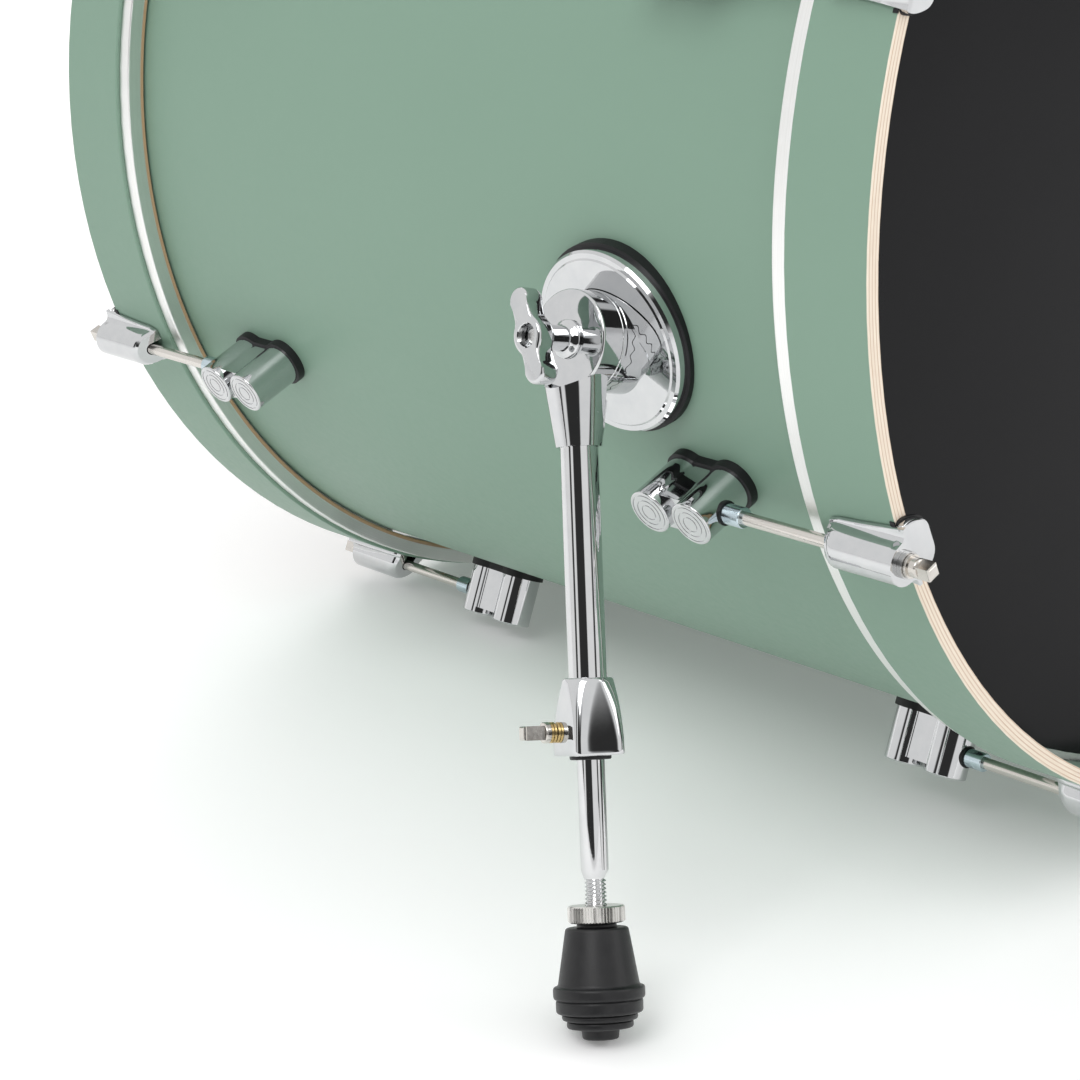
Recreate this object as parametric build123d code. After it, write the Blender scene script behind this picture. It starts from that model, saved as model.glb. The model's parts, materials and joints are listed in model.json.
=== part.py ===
"""Bass drum, 22 x 18 in, standing on its batter hoop and two folding spurs.

Every piece is first built in the drum's own frame: origin at the middle of the drum's axis,
+Y towards the batter head, -Y towards the front head, +Z up. At the end the whole drum is tilted
so that its front is raised, and moved so that the floor is z = 0 under the middle of its box.
"Left" is the -X side, as seen by someone facing the front head.
"""

import math
import os

from build123d import *

# ---------------------------------------------------------------- driving dimensions, mm, degrees

# Wooden shell
SHELL_RADIUS = 279.4
SHELL_WALL = 6.0
SHELL_DEPTH = 457.2
EDGE_ROUND = 1.0
VENT_RADIUS = 6.35
VENT_ANGLE = 90.0

# Wooden hoops, aluminium flesh hoops and the film of the heads
HOOP_RADIUS = 291.6
HOOP_WALL = 7.0
HOOP_WIDTH = 42.2
HOOP_ROUND = 1.0
DRUM_LENGTH = 528.3
FLESH_RADIUS = 289.8
FLESH_WIDTH = 7.8
FLESH_ROUND = 0.8
FILM = 0.5
COLLAR_RADIUS = 279.8
COLLAR_DEPTH = 13.0
FILM_GAP = 0.1

# Lugs: two round turrets on a waisted base, along the drum
LUG_COUNT = 8
FIRST_LUG_ANGLE = 22.5
LUG_Y = 152.0
TURRET_RADIUS = 10.4
TURRET_SPACING = 24.0
TURRET_WALL = 2.4
LUG_TOP = 30.0
LUG_WEB_TOP = 26.5
LUG_WAIST = 17.0
LUG_BLEND = 4.5
LUG_EDGE = 0.8
CAP_RINGS = (3.4, 5.9, 8.4)
CAP_GROOVE = 0.45
GASKET = 4.0
GASKET_MARGIN = 1.3
BOSS_RADIUS = 4.0
BOSS_TOP = 11.0
RIB = 4.0
SCREW_RADIUS = 2.4
SCREW_HEAD_RADIUS = 4.2
SCREW_HEAD = 3.0
SCREW_WASHER_RADIUS = 5.5
SCREW_WASHER = 1.0
SLOT_WIDTH = 1.2
SLOT_DEPTH = 1.4

# Tension rods, their swivel nuts in the lugs, and the claws that they pull on the hoops
ROD_CIRCLE = 297.5
ROD_RADIUS = 2.8
ROD_START = 160.0
ROD_HEAD_Y = 272.4
ROD_FLANGE_RADIUS = 4.9
ROD_FLANGE = 1.3
ROD_BARREL_RADIUS = 4.1
ROD_BARREL = 4.0
KEY_SQUARE = 5.9
KEY_LENGTH = 6.6
KEY_ROUND = 1.3
SLEEVE_RADIUS = 4.5
SLEEVE_LENGTH = 20.6
SWIVEL_RADIUS = 6.6
SWIVEL_HEIGHT = 11.0
BUSH_RADIUS = 5.3
BUSH_PROUD = 0.5
CLAW_START = 229.5
CLAW_END = 269.9
CLAW_ARCH_RADIUS = 9.2
CLAW_FOOT_WIDTH = 25.0
CLAW_HOOK_WIDTH = 28.0
CLAW_HOOK_WALL = 2.7
CLAW_HOOK_REACH = 13.5
CLAW_SLOPE = 6.0
LINER = 1.4
LINER_WIDTH = 29.6
LINER_REACH = 15.5
WASHER_RADIUS = 5.6
ROD_WASHER = 1.1

# Spurs: a round bracket on the shell, and a hinge whose axis leans up from the horizontal
BRACKET_ANGLE = 190.0
BRACKET_Y = -114.5
SPUR_GASKET_RADIUS = 42.4
SPUR_GASKET = 2.2
DISC_RADIUS = 40.7
DISC_TOP = 8.6
DISC_WALL = 3.2
DISC_RIM = 3.2
DISC_STEP = 0.7
DISC_SHOULDER = 2.0
DISC_SCREW_CIRCLE = 31.0
DISC_BOSS_RADIUS = 5.0
HINGE_LEAN = 15.5
HINGE_FOOT = 8.0
HINGE_STANDOFF = 18.7
HINGE_RADIUS = 21.0
HINGE_INNER = -7.0
HINGE_OUTER = 4.5
HINGE_GAP = 0.4
HINGE_EDGE = 1.0
BOLT_RADIUS = 4.0
BOLT_HEAD_RADIUS = 6.5
BOLT_HEAD_START = -21.0
BOLT_HEAD_END = -16.0
BOLT_END = 24.5

# Wing nut on the hinge bolt
WING_TURN = 14.0
WING_END = 28.6
WING_START = 20.0
WING_REACH = 16.2
WING_TIP_RADIUS = 4.7
WING_HUB_RADIUS = 7.6
WING_NECK_RADIUS = 5.4
WING_FLANGE_RADIUS = 8.2
WING_FLANGE = 2.4
WING_EYE_RADIUS = 4.8
WING_EDGE = 1.3

# Leg, measured along its axis from the hinge axis
LEG_FORWARD = 16.3
NECK_START = 14.0
FUNNEL_START = 21.5
FUNNEL_SHOULDER = 26.0
FUNNEL_END = 44.6
NECK_WIDTH = 25.0
FUNNEL_TOP_RADIUS = 12.3
FUNNEL_RADIUS = 9.5
TUBE_RADIUS = 7.95
TUBE_BORE = 5.88
TUBE_START = 22.2
TUBE_END = 165.0
PIN_PLACE = 30.0
PIN_RADIUS = 1.2
LOCK_START = 139.6
LOCK_END = 171.4
LOCK_TURN = 20.0
LOCK_TOP_RADIUS = 10.3
LOCK_WIDTH = 23.0
LOCK_BACK = 15.0
LOCK_CORNER = 3.0
LOCK_EDGE = 0.7
LOCK_SLIT = 1.4
LOCK_SCREW_PLACE = 161.5
LOCK_SCREW_BACK = 10.4
LOCK_SCREW_RADIUS = 2.0
LOCK_WASHER_RADIUS = 4.3
LOCK_WASHER = 1.0
LOCK_WASHER_SPACE = 0.35
LOCK_COLLAR_RADIUS = 4.4
LOCK_COLLAR = 2.4
LOCK_KEY_LENGTH = 9.5
INNER_ROD_RADIUS = 5.8
INNER_ROD_START = 80.0

# Foot of the leg, measured upwards from its tip
STUD_RADIUS = 4.6
STUD_TOP = 65.0
STUD_CHAMFER = 3.6
SPIKE_TIP = 8.0
SPIKE_LENGTH = 15.0
NUT_BOTTOM = 47.3
NUT_TOP = 54.2
NUT_RADIUS = 11.85
NUT_KNURLS = 56
KNURL_DEPTH = 0.4
NUT_CHAMFER = 0.7
FOOT_TOP = 45.3
FOOT_NECK_TOP = 47.2
FOOT_NECK_RADIUS = 8.2
FOOT_TRAVEL = 10.0
FOOT_DOME = 4.0
FOOT_DOME_RADIUS = 7.9
FOOT_STEPS = ((7.6, 13.7), (10.4, 15.6), (16.1, 17.9), (21.8, 18.9))
FOOT_WAIST_RADIUS = 16.6
FOOT_TOP_RADIUS = 12.9
FOOT_ROUND = 1.2
FOOT_HOLE_RADIUS = 1.0

# Fits and stance
RUNNING = 0.05
CLEAR = 0.25
TILT = 2.62
GUESSED_REACH = 286.9

HALF_DEPTH = SHELL_DEPTH / 2
HOOP_FACE = DRUM_LENGTH / 2
HOOP_EDGE = HOOP_FACE - HOOP_WIDTH
ROD_HEIGHT = ROD_CIRCLE - SHELL_RADIUS
ROD_ABOVE_HOOP = ROD_CIRCLE - HOOP_RADIUS
TURRET_Y = TURRET_SPACING / 2
FAR = 400.0


# ---------------------------------------------------------------- helpers


def turned(points):
    """Solid of revolution about +Z from an outline of (radius, height) points."""
    return revolve(Plane.XZ * Polygon(*points, align=None), Axis.Z)


def bar(radius, start, end):
    """Round bar along +Z between two heights."""
    return Pos(0, 0, (start + end) / 2) * Cylinder(radius, end - start)


def tube(radius, bore, start, end):
    return bar(radius, start, end) - bar(bore, start - CLEAR, end + CLEAR)


def square_bar(side, start, end):
    return Pos(0, 0, (start + end) / 2) * Box(side, side, end - start)


def block(x_low, x_high, y_low, y_high, z_low, z_high):
    """Box between two corners."""
    middle = Pos((x_low + x_high) / 2, (y_low + y_high) / 2, (z_low + z_high) / 2)
    return middle * Box(x_high - x_low, y_high - y_low, z_high - z_low)


def around_drum(points):
    """Solid of revolution about the drum's axis, from (radius, y) points."""
    return Rot(-90, 0, 0) * turned(points)


def along_y(solid):
    """Turns a solid built along +Z so that it lies along +Y."""
    return Rot(-90, 0, 0) * solid


def along_leg(solid):
    """Turns a solid built along +Z so that it lies along +X, the leg's axis in the hinge frame."""
    return Rot(0, 90, 0) * solid


def station(angle, y, radius=SHELL_RADIUS):
    """Place on a cylinder about the drum's axis: +Z outwards, +Y along the drum."""
    a = math.radians(angle)
    out = Vector(math.cos(a), 0, math.sin(a))
    across = Vector(math.sin(a), 0, -math.cos(a))
    return Plane(origin=out * radius + Vector(0, y, 0), x_dir=across, z_dir=out).location


def under(radius):
    """The long cylinder about the drum's axis, seen from a station at the same radius."""
    return Pos(0, 0, -radius) * along_y(Cylinder(radius, 2 * FAR))


def lug_angles():
    return [FIRST_LUG_ANGLE + i * 360 / LUG_COUNT for i in range(LUG_COUNT)]


def ring_of(solid, y=0.0, radius=SHELL_RADIUS):
    """Copies of a solid, one at each lug's angle."""
    return [station(angle, y, radius) * solid for angle in lug_angles()]


def to_front(solids):
    """The same pieces on the front side of the drum."""
    return [mirror(solid, about=Plane.XZ) for solid in solids]


def to_right(solid):
    return mirror(solid, about=Plane.YZ)


# ---------------------------------------------------------------- shell, hoops and heads


def shell_holes():
    """Bars through the shell's wall at the lugs' screws, the brackets' screws and the vent."""
    through = bar(SCREW_RADIUS + CLEAR, -FAR / 10, FAR / 10)
    holes = []
    for y in (-LUG_Y, LUG_Y):
        for turret_y in (-TURRET_Y, TURRET_Y):
            holes += ring_of(through, y + turret_y)
    for hole in disc_screw_places():
        bracket_hole = station(BRACKET_ANGLE, BRACKET_Y) * hole * through
        holes += [bracket_hole, to_right(bracket_hole)]
    holes.append(station(VENT_ANGLE, 0) * bar(VENT_RADIUS, -FAR / 10, FAR / 10))
    return holes


def make_shell():
    inner = SHELL_RADIUS - SHELL_WALL
    bevel = SHELL_WALL - 2 * EDGE_ROUND
    crown = HALF_DEPTH - EDGE_ROUND
    half = [
        (inner, HALF_DEPTH - bevel),
        (inner + bevel, HALF_DEPTH),
        (SHELL_RADIUS - EDGE_ROUND, HALF_DEPTH),
        (SHELL_RADIUS, crown),
    ]
    other_half = [(radius, -y) for radius, y in reversed(half)]
    return around_drum(half + other_half) - shell_holes()


def make_vent_grommet():
    lip = 1.5
    inner_lip_radius = VENT_RADIUS + 2.6
    outer_lip_radius = VENT_RADIUS + 4.6
    barrel = bar(VENT_RADIUS - RUNNING, -SHELL_WALL - lip, lip)
    outer_lip = bar(outer_lip_radius, -lip, lip) - under(SHELL_RADIUS)
    inner_lip = bar(inner_lip_radius, -SHELL_WALL - lip, -SHELL_WALL - 3 * RUNNING)
    grommet = barrel + outer_lip + inner_lip - bar(VENT_RADIUS - lip, -FAR / 10, FAR / 10)
    return station(VENT_ANGLE, 0) * grommet


def make_hoop():
    inner = HOOP_RADIUS - HOOP_WALL
    outline = [(inner, HOOP_EDGE), (HOOP_RADIUS, HOOP_EDGE), (HOOP_RADIUS, HOOP_FACE), (inner, HOOP_FACE)]
    hoop = around_drum(outline)
    return fillet(hoop.edges(), HOOP_ROUND)


def make_flesh_hoop():
    inner = COLLAR_RADIUS + FILM + FILM_GAP
    bottom = HOOP_EDGE - FLESH_WIDTH
    outline = [(inner, bottom), (FLESH_RADIUS, bottom), (FLESH_RADIUS, HOOP_EDGE), (inner, HOOP_EDGE)]
    flesh_hoop = around_drum(outline)
    return fillet(flesh_hoop.edges(), FLESH_ROUND)


def make_head():
    """A flat film with a collar that goes down outside the shell into the flesh hoop."""
    face = HALF_DEPTH + FILM_GAP
    outline = [
        (0, face),
        (COLLAR_RADIUS, face),
        (COLLAR_RADIUS, face - COLLAR_DEPTH),
        (COLLAR_RADIUS + FILM, face - COLLAR_DEPTH),
        (COLLAR_RADIUS + FILM, face + FILM / 2),
        (COLLAR_RADIUS + FILM / 2, face + FILM),
        (0, face + FILM),
    ]
    return around_drum(outline)


# ---------------------------------------------------------------- lugs


def lug_outline(lobe_radius, waist):
    """Two lobes joined by a waist, along Y."""
    lobes = Pos(0, TURRET_Y) * Circle(lobe_radius) + Pos(0, -TURRET_Y) * Circle(lobe_radius)
    outline = lobes + Rectangle(waist, TURRET_SPACING)
    corners = [v for v in outline.vertices() if abs(abs(v.X) - waist / 2) < RUNNING]
    return fillet(corners, LUG_BLEND)


def make_lug():
    """Hollow casting; its outer turret, at +Y, holds the swivel nut."""
    base = Pos(0, 0, GASKET) * extrude(lug_outline(TURRET_RADIUS, LUG_WAIST), LUG_WEB_TOP - GASKET)
    turret = bar(TURRET_RADIUS, GASKET, LUG_TOP)
    turret = fillet(turret.edges().group_by(Axis.Z)[-1], LUG_EDGE)
    for ring in CAP_RINGS:
        turret -= tube(ring + CAP_GROOVE, ring, LUG_TOP - CAP_GROOVE, LUG_TOP + CLEAR)
    hollow = bar(TURRET_RADIUS - TURRET_WALL, 0, LUG_TOP - TURRET_WALL - CAP_GROOVE)
    boss = bar(BOSS_RADIUS, GASKET, BOSS_TOP)
    screw_hole = bar(SCREW_RADIUS + RUNNING, 0, BOSS_TOP + CLEAR)
    lug = base
    for y in (-TURRET_Y, TURRET_Y):
        lug += Pos(0, y) * turret
    for y in (-TURRET_Y, TURRET_Y):
        lug -= Pos(0, y) * hollow
        lug += Pos(0, y) * boss
    lug += block(-RIB / 2, RIB / 2, -TURRET_Y, TURRET_Y, GASKET, BOSS_TOP)
    for y in (-TURRET_Y, TURRET_Y):
        lug -= Pos(0, y) * screw_hole
    return lug - Pos(0, 0, ROD_HEIGHT) * along_y(bar(BUSH_RADIUS + RUNNING, TURRET_Y, FAR / 10))


def make_lug_gasket():
    outline = lug_outline(TURRET_RADIUS + GASKET_MARGIN, LUG_WAIST + 2 * GASKET_MARGIN)
    gasket = Pos(0, 0, -GASKET) * extrude(outline, 2 * GASKET) - under(SHELL_RADIUS)
    for y in (-TURRET_Y, TURRET_Y):
        gasket -= Pos(0, y) * bar(SCREW_RADIUS + CLEAR, -GASKET, 2 * GASKET)
    return gasket


def make_screw(end, seat=-SHELL_WALL - 2 * RUNNING):
    """Slotted screw with its washer, put in from inside the shell, up to a height above it."""
    under_head = seat - SCREW_WASHER
    head_top = under_head - SCREW_HEAD
    screw = bar(SCREW_RADIUS, under_head, end) + bar(SCREW_HEAD_RADIUS, head_top, under_head)
    screw += bar(SCREW_WASHER_RADIUS, under_head, seat)
    slot_half = SLOT_WIDTH / 2
    slot = block(-slot_half, slot_half, -FAR, FAR, head_top - SLOT_DEPTH, head_top + SLOT_DEPTH)
    return screw - slot


def make_swivel_nut():
    """Threaded sleeve on an upright barrel that can tip a little inside the turret."""
    barrel = bar(SWIVEL_RADIUS, ROD_HEIGHT - SWIVEL_HEIGHT / 2, ROD_HEIGHT + SWIVEL_HEIGHT / 2)
    sleeve_end = fillet(bar(SLEEVE_RADIUS, 0, SLEEVE_LENGTH).edges().group_by(Axis.Z)[-1], HOOP_ROUND / 2)
    sleeve = Pos(0, 0, ROD_HEIGHT) * along_y(sleeve_end)
    bore = Pos(0, 0, ROD_HEIGHT) * along_y(bar(ROD_RADIUS + RUNNING, -FAR / 10, FAR / 10))
    return Pos(0, TURRET_Y) * (barrel + sleeve - bore)


def make_swivel_bush():
    start = TURRET_RADIUS - TURRET_WALL
    end = TURRET_RADIUS + BUSH_PROUD
    ring = tube(BUSH_RADIUS, SLEEVE_RADIUS + RUNNING, start, end)
    return Pos(0, TURRET_Y, ROD_HEIGHT) * along_y(ring)


# ---------------------------------------------------------------- tension rods and claws


def make_rod():
    """Tension rod with a square head for a drum key, along +Y at a station's centre."""
    flange_end = ROD_HEAD_Y + ROD_FLANGE
    barrel_end = flange_end + ROD_BARREL
    key_end = barrel_end + KEY_LENGTH
    shank = bar(ROD_RADIUS, ROD_START, ROD_HEAD_Y)
    flange = bar(ROD_FLANGE_RADIUS, ROD_HEAD_Y, flange_end)
    barrel = bar(ROD_BARREL_RADIUS, flange_end, barrel_end)
    barrel = fillet(barrel.edges().group_by(Axis.Z)[-1], EDGE_ROUND)
    key = square_bar(KEY_SQUARE, barrel_end - EDGE_ROUND, key_end)
    key = fillet(key.edges().group_by(Axis.Z)[-1], KEY_ROUND)
    return along_y(shank + flange + barrel + key)


def make_rod_washers():
    """A steel and a nylon washer under the rod's head."""
    seat = CLAW_END + RUNNING
    washers = []
    for start in (seat, seat + ROD_WASHER + RUNNING):
        ring = tube(WASHER_RADIUS, ROD_RADIUS + CLEAR, start, start + ROD_WASHER)
        washers.append(along_y(ring))
    return washers


def hook_section(wall_in, wall_out, outer_start, inner_start):
    """Outline of a channel that wraps the hoop's edge, between two offsets from its surfaces."""
    inner = HOOP_RADIUS - HOOP_WALL
    return [
        (HOOP_RADIUS + wall_in, outer_start),
        (HOOP_RADIUS + wall_out, outer_start),
        (HOOP_RADIUS + wall_out, HOOP_FACE + wall_out),
        (inner - wall_out, HOOP_FACE + wall_out),
        (inner - wall_out, inner_start),
        (inner - wall_in, inner_start),
        (inner - wall_in, HOOP_FACE + wall_in),
        (HOOP_RADIUS + wall_in, HOOP_FACE + wall_in),
    ]


def hook_channel(wall_in, wall_out, width, outer_start, reach):
    """A short sector of that channel, seen from a station on the hoop."""
    ring = around_drum(hook_section(wall_in, wall_out, outer_start, HOOP_FACE - reach))
    sector = block(-width / 2, width / 2, 0, FAR, 0, FAR)
    return Pos(0, 0, -HOOP_RADIUS) * (ring & sector)


def make_claw():
    """Arched boss over the rod, with a hook that goes over the hoop's edge."""
    foot = Pos(0, LINER + CLEAR / 2) * Rectangle(CLAW_FOOT_WIDTH, CLEAR)
    arch = make_hull((Pos(0, ROD_ABOVE_HOOP) * Circle(CLAW_ARCH_RADIUS) + foot).edges())
    boss = Pos(0, CLAW_END, 0) * extrude(Plane.XZ * arch, CLAW_END - CLAW_START)
    hook = hook_channel(
        LINER + RUNNING, LINER + CLAW_HOOK_WALL, CLAW_HOOK_WIDTH, HOOP_FACE - CLAW_FOOT_WIDTH, CLAW_HOOK_REACH
    )
    hoop_and_liner = Pos(0, 0, LINER + RUNNING) * under(HOOP_RADIUS + LINER + RUNNING)
    claw = boss - claw_end_wedge() - hoop_and_liner + hook
    bore = Pos(0, 0, ROD_ABOVE_HOOP) * along_y(bar(ROD_RADIUS + 2 * CLEAR, 0, FAR))
    return claw - bore


def claw_end_wedge():
    """Wedge that slopes the claw's end, so that its crown is shorter than its foot."""
    crown = ROD_ABOVE_HOOP + CLAW_ARCH_RADIUS
    points = [
        (CLAW_START - CLEAR, LINER + CLAW_HOOK_WALL),
        (CLAW_START + CLAW_SLOPE, crown + CLEAR),
        (CLAW_START - CLEAR, crown + CLEAR),
    ]
    return extrude(Plane.YZ * Polygon(*points, align=None), CLAW_FOOT_WIDTH, both=True)


def make_claw_liner():
    """Rubber channel between the claw and the hoop."""
    return hook_channel(RUNNING, LINER, LINER_WIDTH, HOOP_EDGE + HOOP_WALL + CLEAR, LINER_REACH)


# ---------------------------------------------------------------- spur bracket


def disc_screw_places():
    return [Rot(0, 0, 45 + 90 * i) * Pos(DISC_SCREW_CIRCLE, 0) for i in range(4)]


def hinge_axis():
    lean = math.radians(HINGE_LEAN)
    return Vector(-math.cos(lean), 0, math.sin(lean))


def hinge_point():
    """Where the leg's axis meets the hinge's axis."""
    foot = station(BRACKET_ANGLE, BRACKET_Y, SHELL_RADIUS + HINGE_FOOT).position
    return foot + hinge_axis() * HINGE_STANDOFF


def leg_direction():
    lean, forward = math.radians(HINGE_LEAN), math.radians(LEG_FORWARD)
    down = Vector(-math.sin(lean), 0, -math.cos(lean))
    return down * math.cos(forward) + Vector(0, -math.sin(forward), 0)


def hinge_frame():
    """Frame of the left spur: +Z outwards along the hinge, +X down the leg, +Y forwards."""
    return Plane(origin=hinge_point(), x_dir=leg_direction(), z_dir=hinge_axis()).location


def in_bracket(solid):
    return station(BRACKET_ANGLE, BRACKET_Y) * solid


def make_spur_gasket():
    gasket = bar(SPUR_GASKET_RADIUS, -2 * SPUR_GASKET, SPUR_GASKET) - under(SHELL_RADIUS)
    for place in disc_screw_places():
        gasket -= place * bar(SCREW_RADIUS + CLEAR, -FAR / 10, FAR / 10)
    return in_bracket(gasket)


def make_spur_bracket():
    """Stepped disc, hollow behind, with the fixed half of the hinge standing on it at a slant."""
    disc = turned(
        [
            (0, SPUR_GASKET),
            (DISC_RADIUS, SPUR_GASKET),
            (DISC_RADIUS, DISC_TOP - DISC_SHOULDER),
            (DISC_RADIUS - DISC_SHOULDER / 2, DISC_TOP - DISC_STEP),
            (DISC_RADIUS - DISC_RIM, DISC_TOP - DISC_STEP),
            (DISC_RADIUS - DISC_RIM - DISC_STEP, DISC_TOP),
            (0, DISC_TOP + DISC_STEP / 2),
        ]
    )
    disc -= bar(DISC_RADIUS - DISC_WALL, 0, DISC_TOP - DISC_WALL)
    disc = in_bracket(disc)
    floor = in_bracket(block(-FAR, FAR, -FAR, FAR, -FAR, SPUR_GASKET))
    boss = bar(HINGE_RADIUS, -3 * HINGE_RADIUS, HINGE_INNER)
    boss = fillet(boss.edges().group_by(Axis.Z)[-1], HINGE_EDGE / 2)
    bracket = disc + (hinge_frame() * boss - floor)
    for place in disc_screw_places():
        post = tube(DISC_BOSS_RADIUS, SCREW_RADIUS + RUNNING, SPUR_GASKET, DISC_TOP - DISC_STEP)
        bracket += in_bracket(place * post)
        bracket -= in_bracket(place * bar(SCREW_RADIUS + RUNNING, 0, DISC_TOP - 2 * DISC_STEP))
    bracket -= hinge_frame() * bar(BOLT_RADIUS + RUNNING, -3 * HINGE_RADIUS, 0)
    bracket -= hinge_frame() * bar(BOLT_HEAD_RADIUS + CLEAR, -3 * HINGE_RADIUS, BOLT_HEAD_END)
    return bracket


def make_bracket_screws():
    """Screws from inside the shell, whose curve drops away beside the bracket's middle."""
    inner = SHELL_RADIUS - SHELL_WALL
    furthest = DISC_SCREW_CIRCLE / math.sqrt(2) + SCREW_WASHER_RADIUS
    drop = SHELL_RADIUS - math.sqrt(inner**2 - furthest**2)
    screw = make_screw(DISC_TOP - 3 * DISC_STEP, seat=-drop - RUNNING)
    return [in_bracket(place * screw) for place in disc_screw_places()]


# ---------------------------------------------------------------- hinge and leg, in the hinge frame


def make_leg_socket():
    """Moving half of the hinge, with a funnel that holds the upper tube."""
    head = bar(HINGE_RADIUS, HINGE_INNER + HINGE_GAP, HINGE_OUTER)
    head = fillet(head.edges().group_by(Axis.Z)[-1], HINGE_EDGE)
    thickness = HINGE_OUTER - HINGE_INNER - HINGE_GAP
    middle = (HINGE_OUTER + HINGE_INNER + HINGE_GAP) / 2
    across = Plane(origin=(FUNNEL_START, 0, 0), x_dir=(0, 1, 0), z_dir=(1, 0, 0))
    neck_outline = Pos(0, middle) * RectangleRounded(NECK_WIDTH, thickness, thickness / 3)
    neck = extrude(across * neck_outline, -(FUNNEL_START - NECK_START))
    shoulder = across.offset(FUNNEL_SHOULDER - FUNNEL_START) * Circle(FUNNEL_TOP_RADIUS)
    mouth = across.offset(FUNNEL_END - FUNNEL_START) * Circle(FUNNEL_RADIUS)
    funnel = loft([across * neck_outline, shoulder]) + loft([shoulder, mouth])
    socket = head + neck + funnel
    socket -= along_leg(bar(TUBE_RADIUS + RUNNING, TUBE_START, FAR))
    socket -= bar(BOLT_RADIUS + RUNNING, -HINGE_RADIUS, HINGE_RADIUS)
    return socket - pin_hole()


def pin_hole():
    return Pos(PIN_PLACE, 0, 0) * along_y(bar(PIN_RADIUS + RUNNING, -FAR / 10, FAR / 10))


def make_socket_pin():
    """Cross pin that keeps the upper tube in the socket."""
    taper = (PIN_PLACE - FUNNEL_SHOULDER) / (FUNNEL_END - FUNNEL_SHOULDER)
    reach = FUNNEL_TOP_RADIUS + taper * (FUNNEL_RADIUS - FUNNEL_TOP_RADIUS)
    return Pos(PIN_PLACE, 0, 0) * along_y(bar(PIN_RADIUS, -reach, reach))


def make_hinge_bolt():
    shank = bar(BOLT_RADIUS, BOLT_HEAD_END, BOLT_END)
    shank = chamfer(shank.edges().group_by(Axis.Z)[-1], EDGE_ROUND)
    hexagon = RegularPolygon(BOLT_HEAD_RADIUS, 6)
    return shank + Pos(0, 0, BOLT_HEAD_START) * extrude(hexagon, BOLT_HEAD_END - BOLT_HEAD_START)


def make_wing_nut():
    """Two-winged nut on a long neck; the bolt's end shows in the eye of its hub."""
    tips = Pos(WING_REACH, 0) * Circle(WING_TIP_RADIUS) + Pos(-WING_REACH, 0) * Circle(WING_TIP_RADIUS)
    outline = make_hull((tips + Circle(WING_HUB_RADIUS)).edges())
    wings = Pos(0, 0, WING_START) * extrude(outline, WING_END - WING_START)
    wings = fillet(wings.edges(), WING_EDGE)
    seat = HINGE_OUTER + RUNNING
    flange_end = seat + WING_FLANGE
    neck = turned(
        [
            (0, seat),
            (WING_FLANGE_RADIUS, seat),
            (WING_FLANGE_RADIUS, flange_end - EDGE_ROUND),
            (WING_NECK_RADIUS + EDGE_ROUND, flange_end),
            (WING_NECK_RADIUS, flange_end + EDGE_ROUND),
            (WING_NECK_RADIUS, WING_START - WING_FLANGE),
            (WING_HUB_RADIUS - WING_EDGE, WING_START + WING_EDGE),
            (0, WING_START + WING_EDGE),
        ]
    )
    nut = neck + wings
    nut -= bar(BOLT_RADIUS + RUNNING, 0, FAR)
    nut -= bar(WING_EYE_RADIUS, BOLT_END - WING_FLANGE, FAR)
    return Rot(0, 0, WING_TURN) * nut


def make_upper_tube():
    pipe = tube(TUBE_RADIUS, TUBE_BORE, TUBE_START + RUNNING, TUBE_END)
    return along_leg(pipe) - pin_hole()


def in_lock(solid):
    """Places a piece of the memory lock: its screw lies along +Z, behind the tube."""
    return Rot(LOCK_TURN, 0, 0) * solid


def make_memory_lock():
    """Split collar, round above and square below, that clamps the tube on the inner rod."""
    top = Plane(origin=(LOCK_START, 0, 0), x_dir=(0, 1, 0), z_dir=(1, 0, 0))
    depth = LOCK_WIDTH / 2 + LOCK_BACK
    square = Pos(LOCK_WIDTH / 2 - depth / 2, 0) * RectangleRounded(depth, LOCK_WIDTH, LOCK_CORNER)
    height = LOCK_END - LOCK_START
    shoulder = top.offset(height / 2)
    collar = loft([top * Circle(LOCK_TOP_RADIUS), shoulder * square])
    collar += extrude(shoulder * square, height / 2)
    collar = fillet(collar.edges().group_by(Axis.X)[-1], LOCK_EDGE)
    collar -= along_leg(bar(TUBE_RADIUS + RUNNING, 0, TUBE_END + RUNNING))
    collar -= along_leg(bar(TUBE_BORE, 0, FAR))
    slit = block(LOCK_START - CLEAR, FAR, -FAR, 0, -LOCK_SLIT / 2, LOCK_SLIT / 2)
    collar -= slit
    return in_lock(collar - lock_screw_place() * bar(LOCK_SCREW_RADIUS + RUNNING, -FAR, FAR))


def lock_screw_place():
    return Pos(LOCK_SCREW_PLACE, -LOCK_SCREW_BACK, 0)


def make_lock_screw():
    """Key screw of the memory lock."""
    washers_top = LOCK_WIDTH / 2 + 2 * (LOCK_WASHER + LOCK_WASHER_SPACE)
    collar_top = washers_top + LOCK_COLLAR
    screw = bar(LOCK_SCREW_RADIUS, -LOCK_WIDTH / 2 + EDGE_ROUND, washers_top)
    collar = bar(LOCK_COLLAR_RADIUS, washers_top, collar_top)
    screw += fillet(collar.edges().group_by(Axis.Z)[-1], LOCK_EDGE)
    key = square_bar(KEY_SQUARE, collar_top - LOCK_EDGE, collar_top + LOCK_KEY_LENGTH)
    screw += fillet(key.edges().group_by(Axis.Z)[-1], KEY_ROUND)
    return in_lock(lock_screw_place() * screw)


def make_lock_washers():
    washers = []
    for i in range(2):
        start = LOCK_WIDTH / 2 + LOCK_WASHER_SPACE / 2 + i * (LOCK_WASHER + LOCK_WASHER_SPACE)
        ring = tube(LOCK_WASHER_RADIUS, LOCK_SCREW_RADIUS + RUNNING, start, start + LOCK_WASHER)
        washers.append(in_lock(lock_screw_place() * ring))
    return washers


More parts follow.
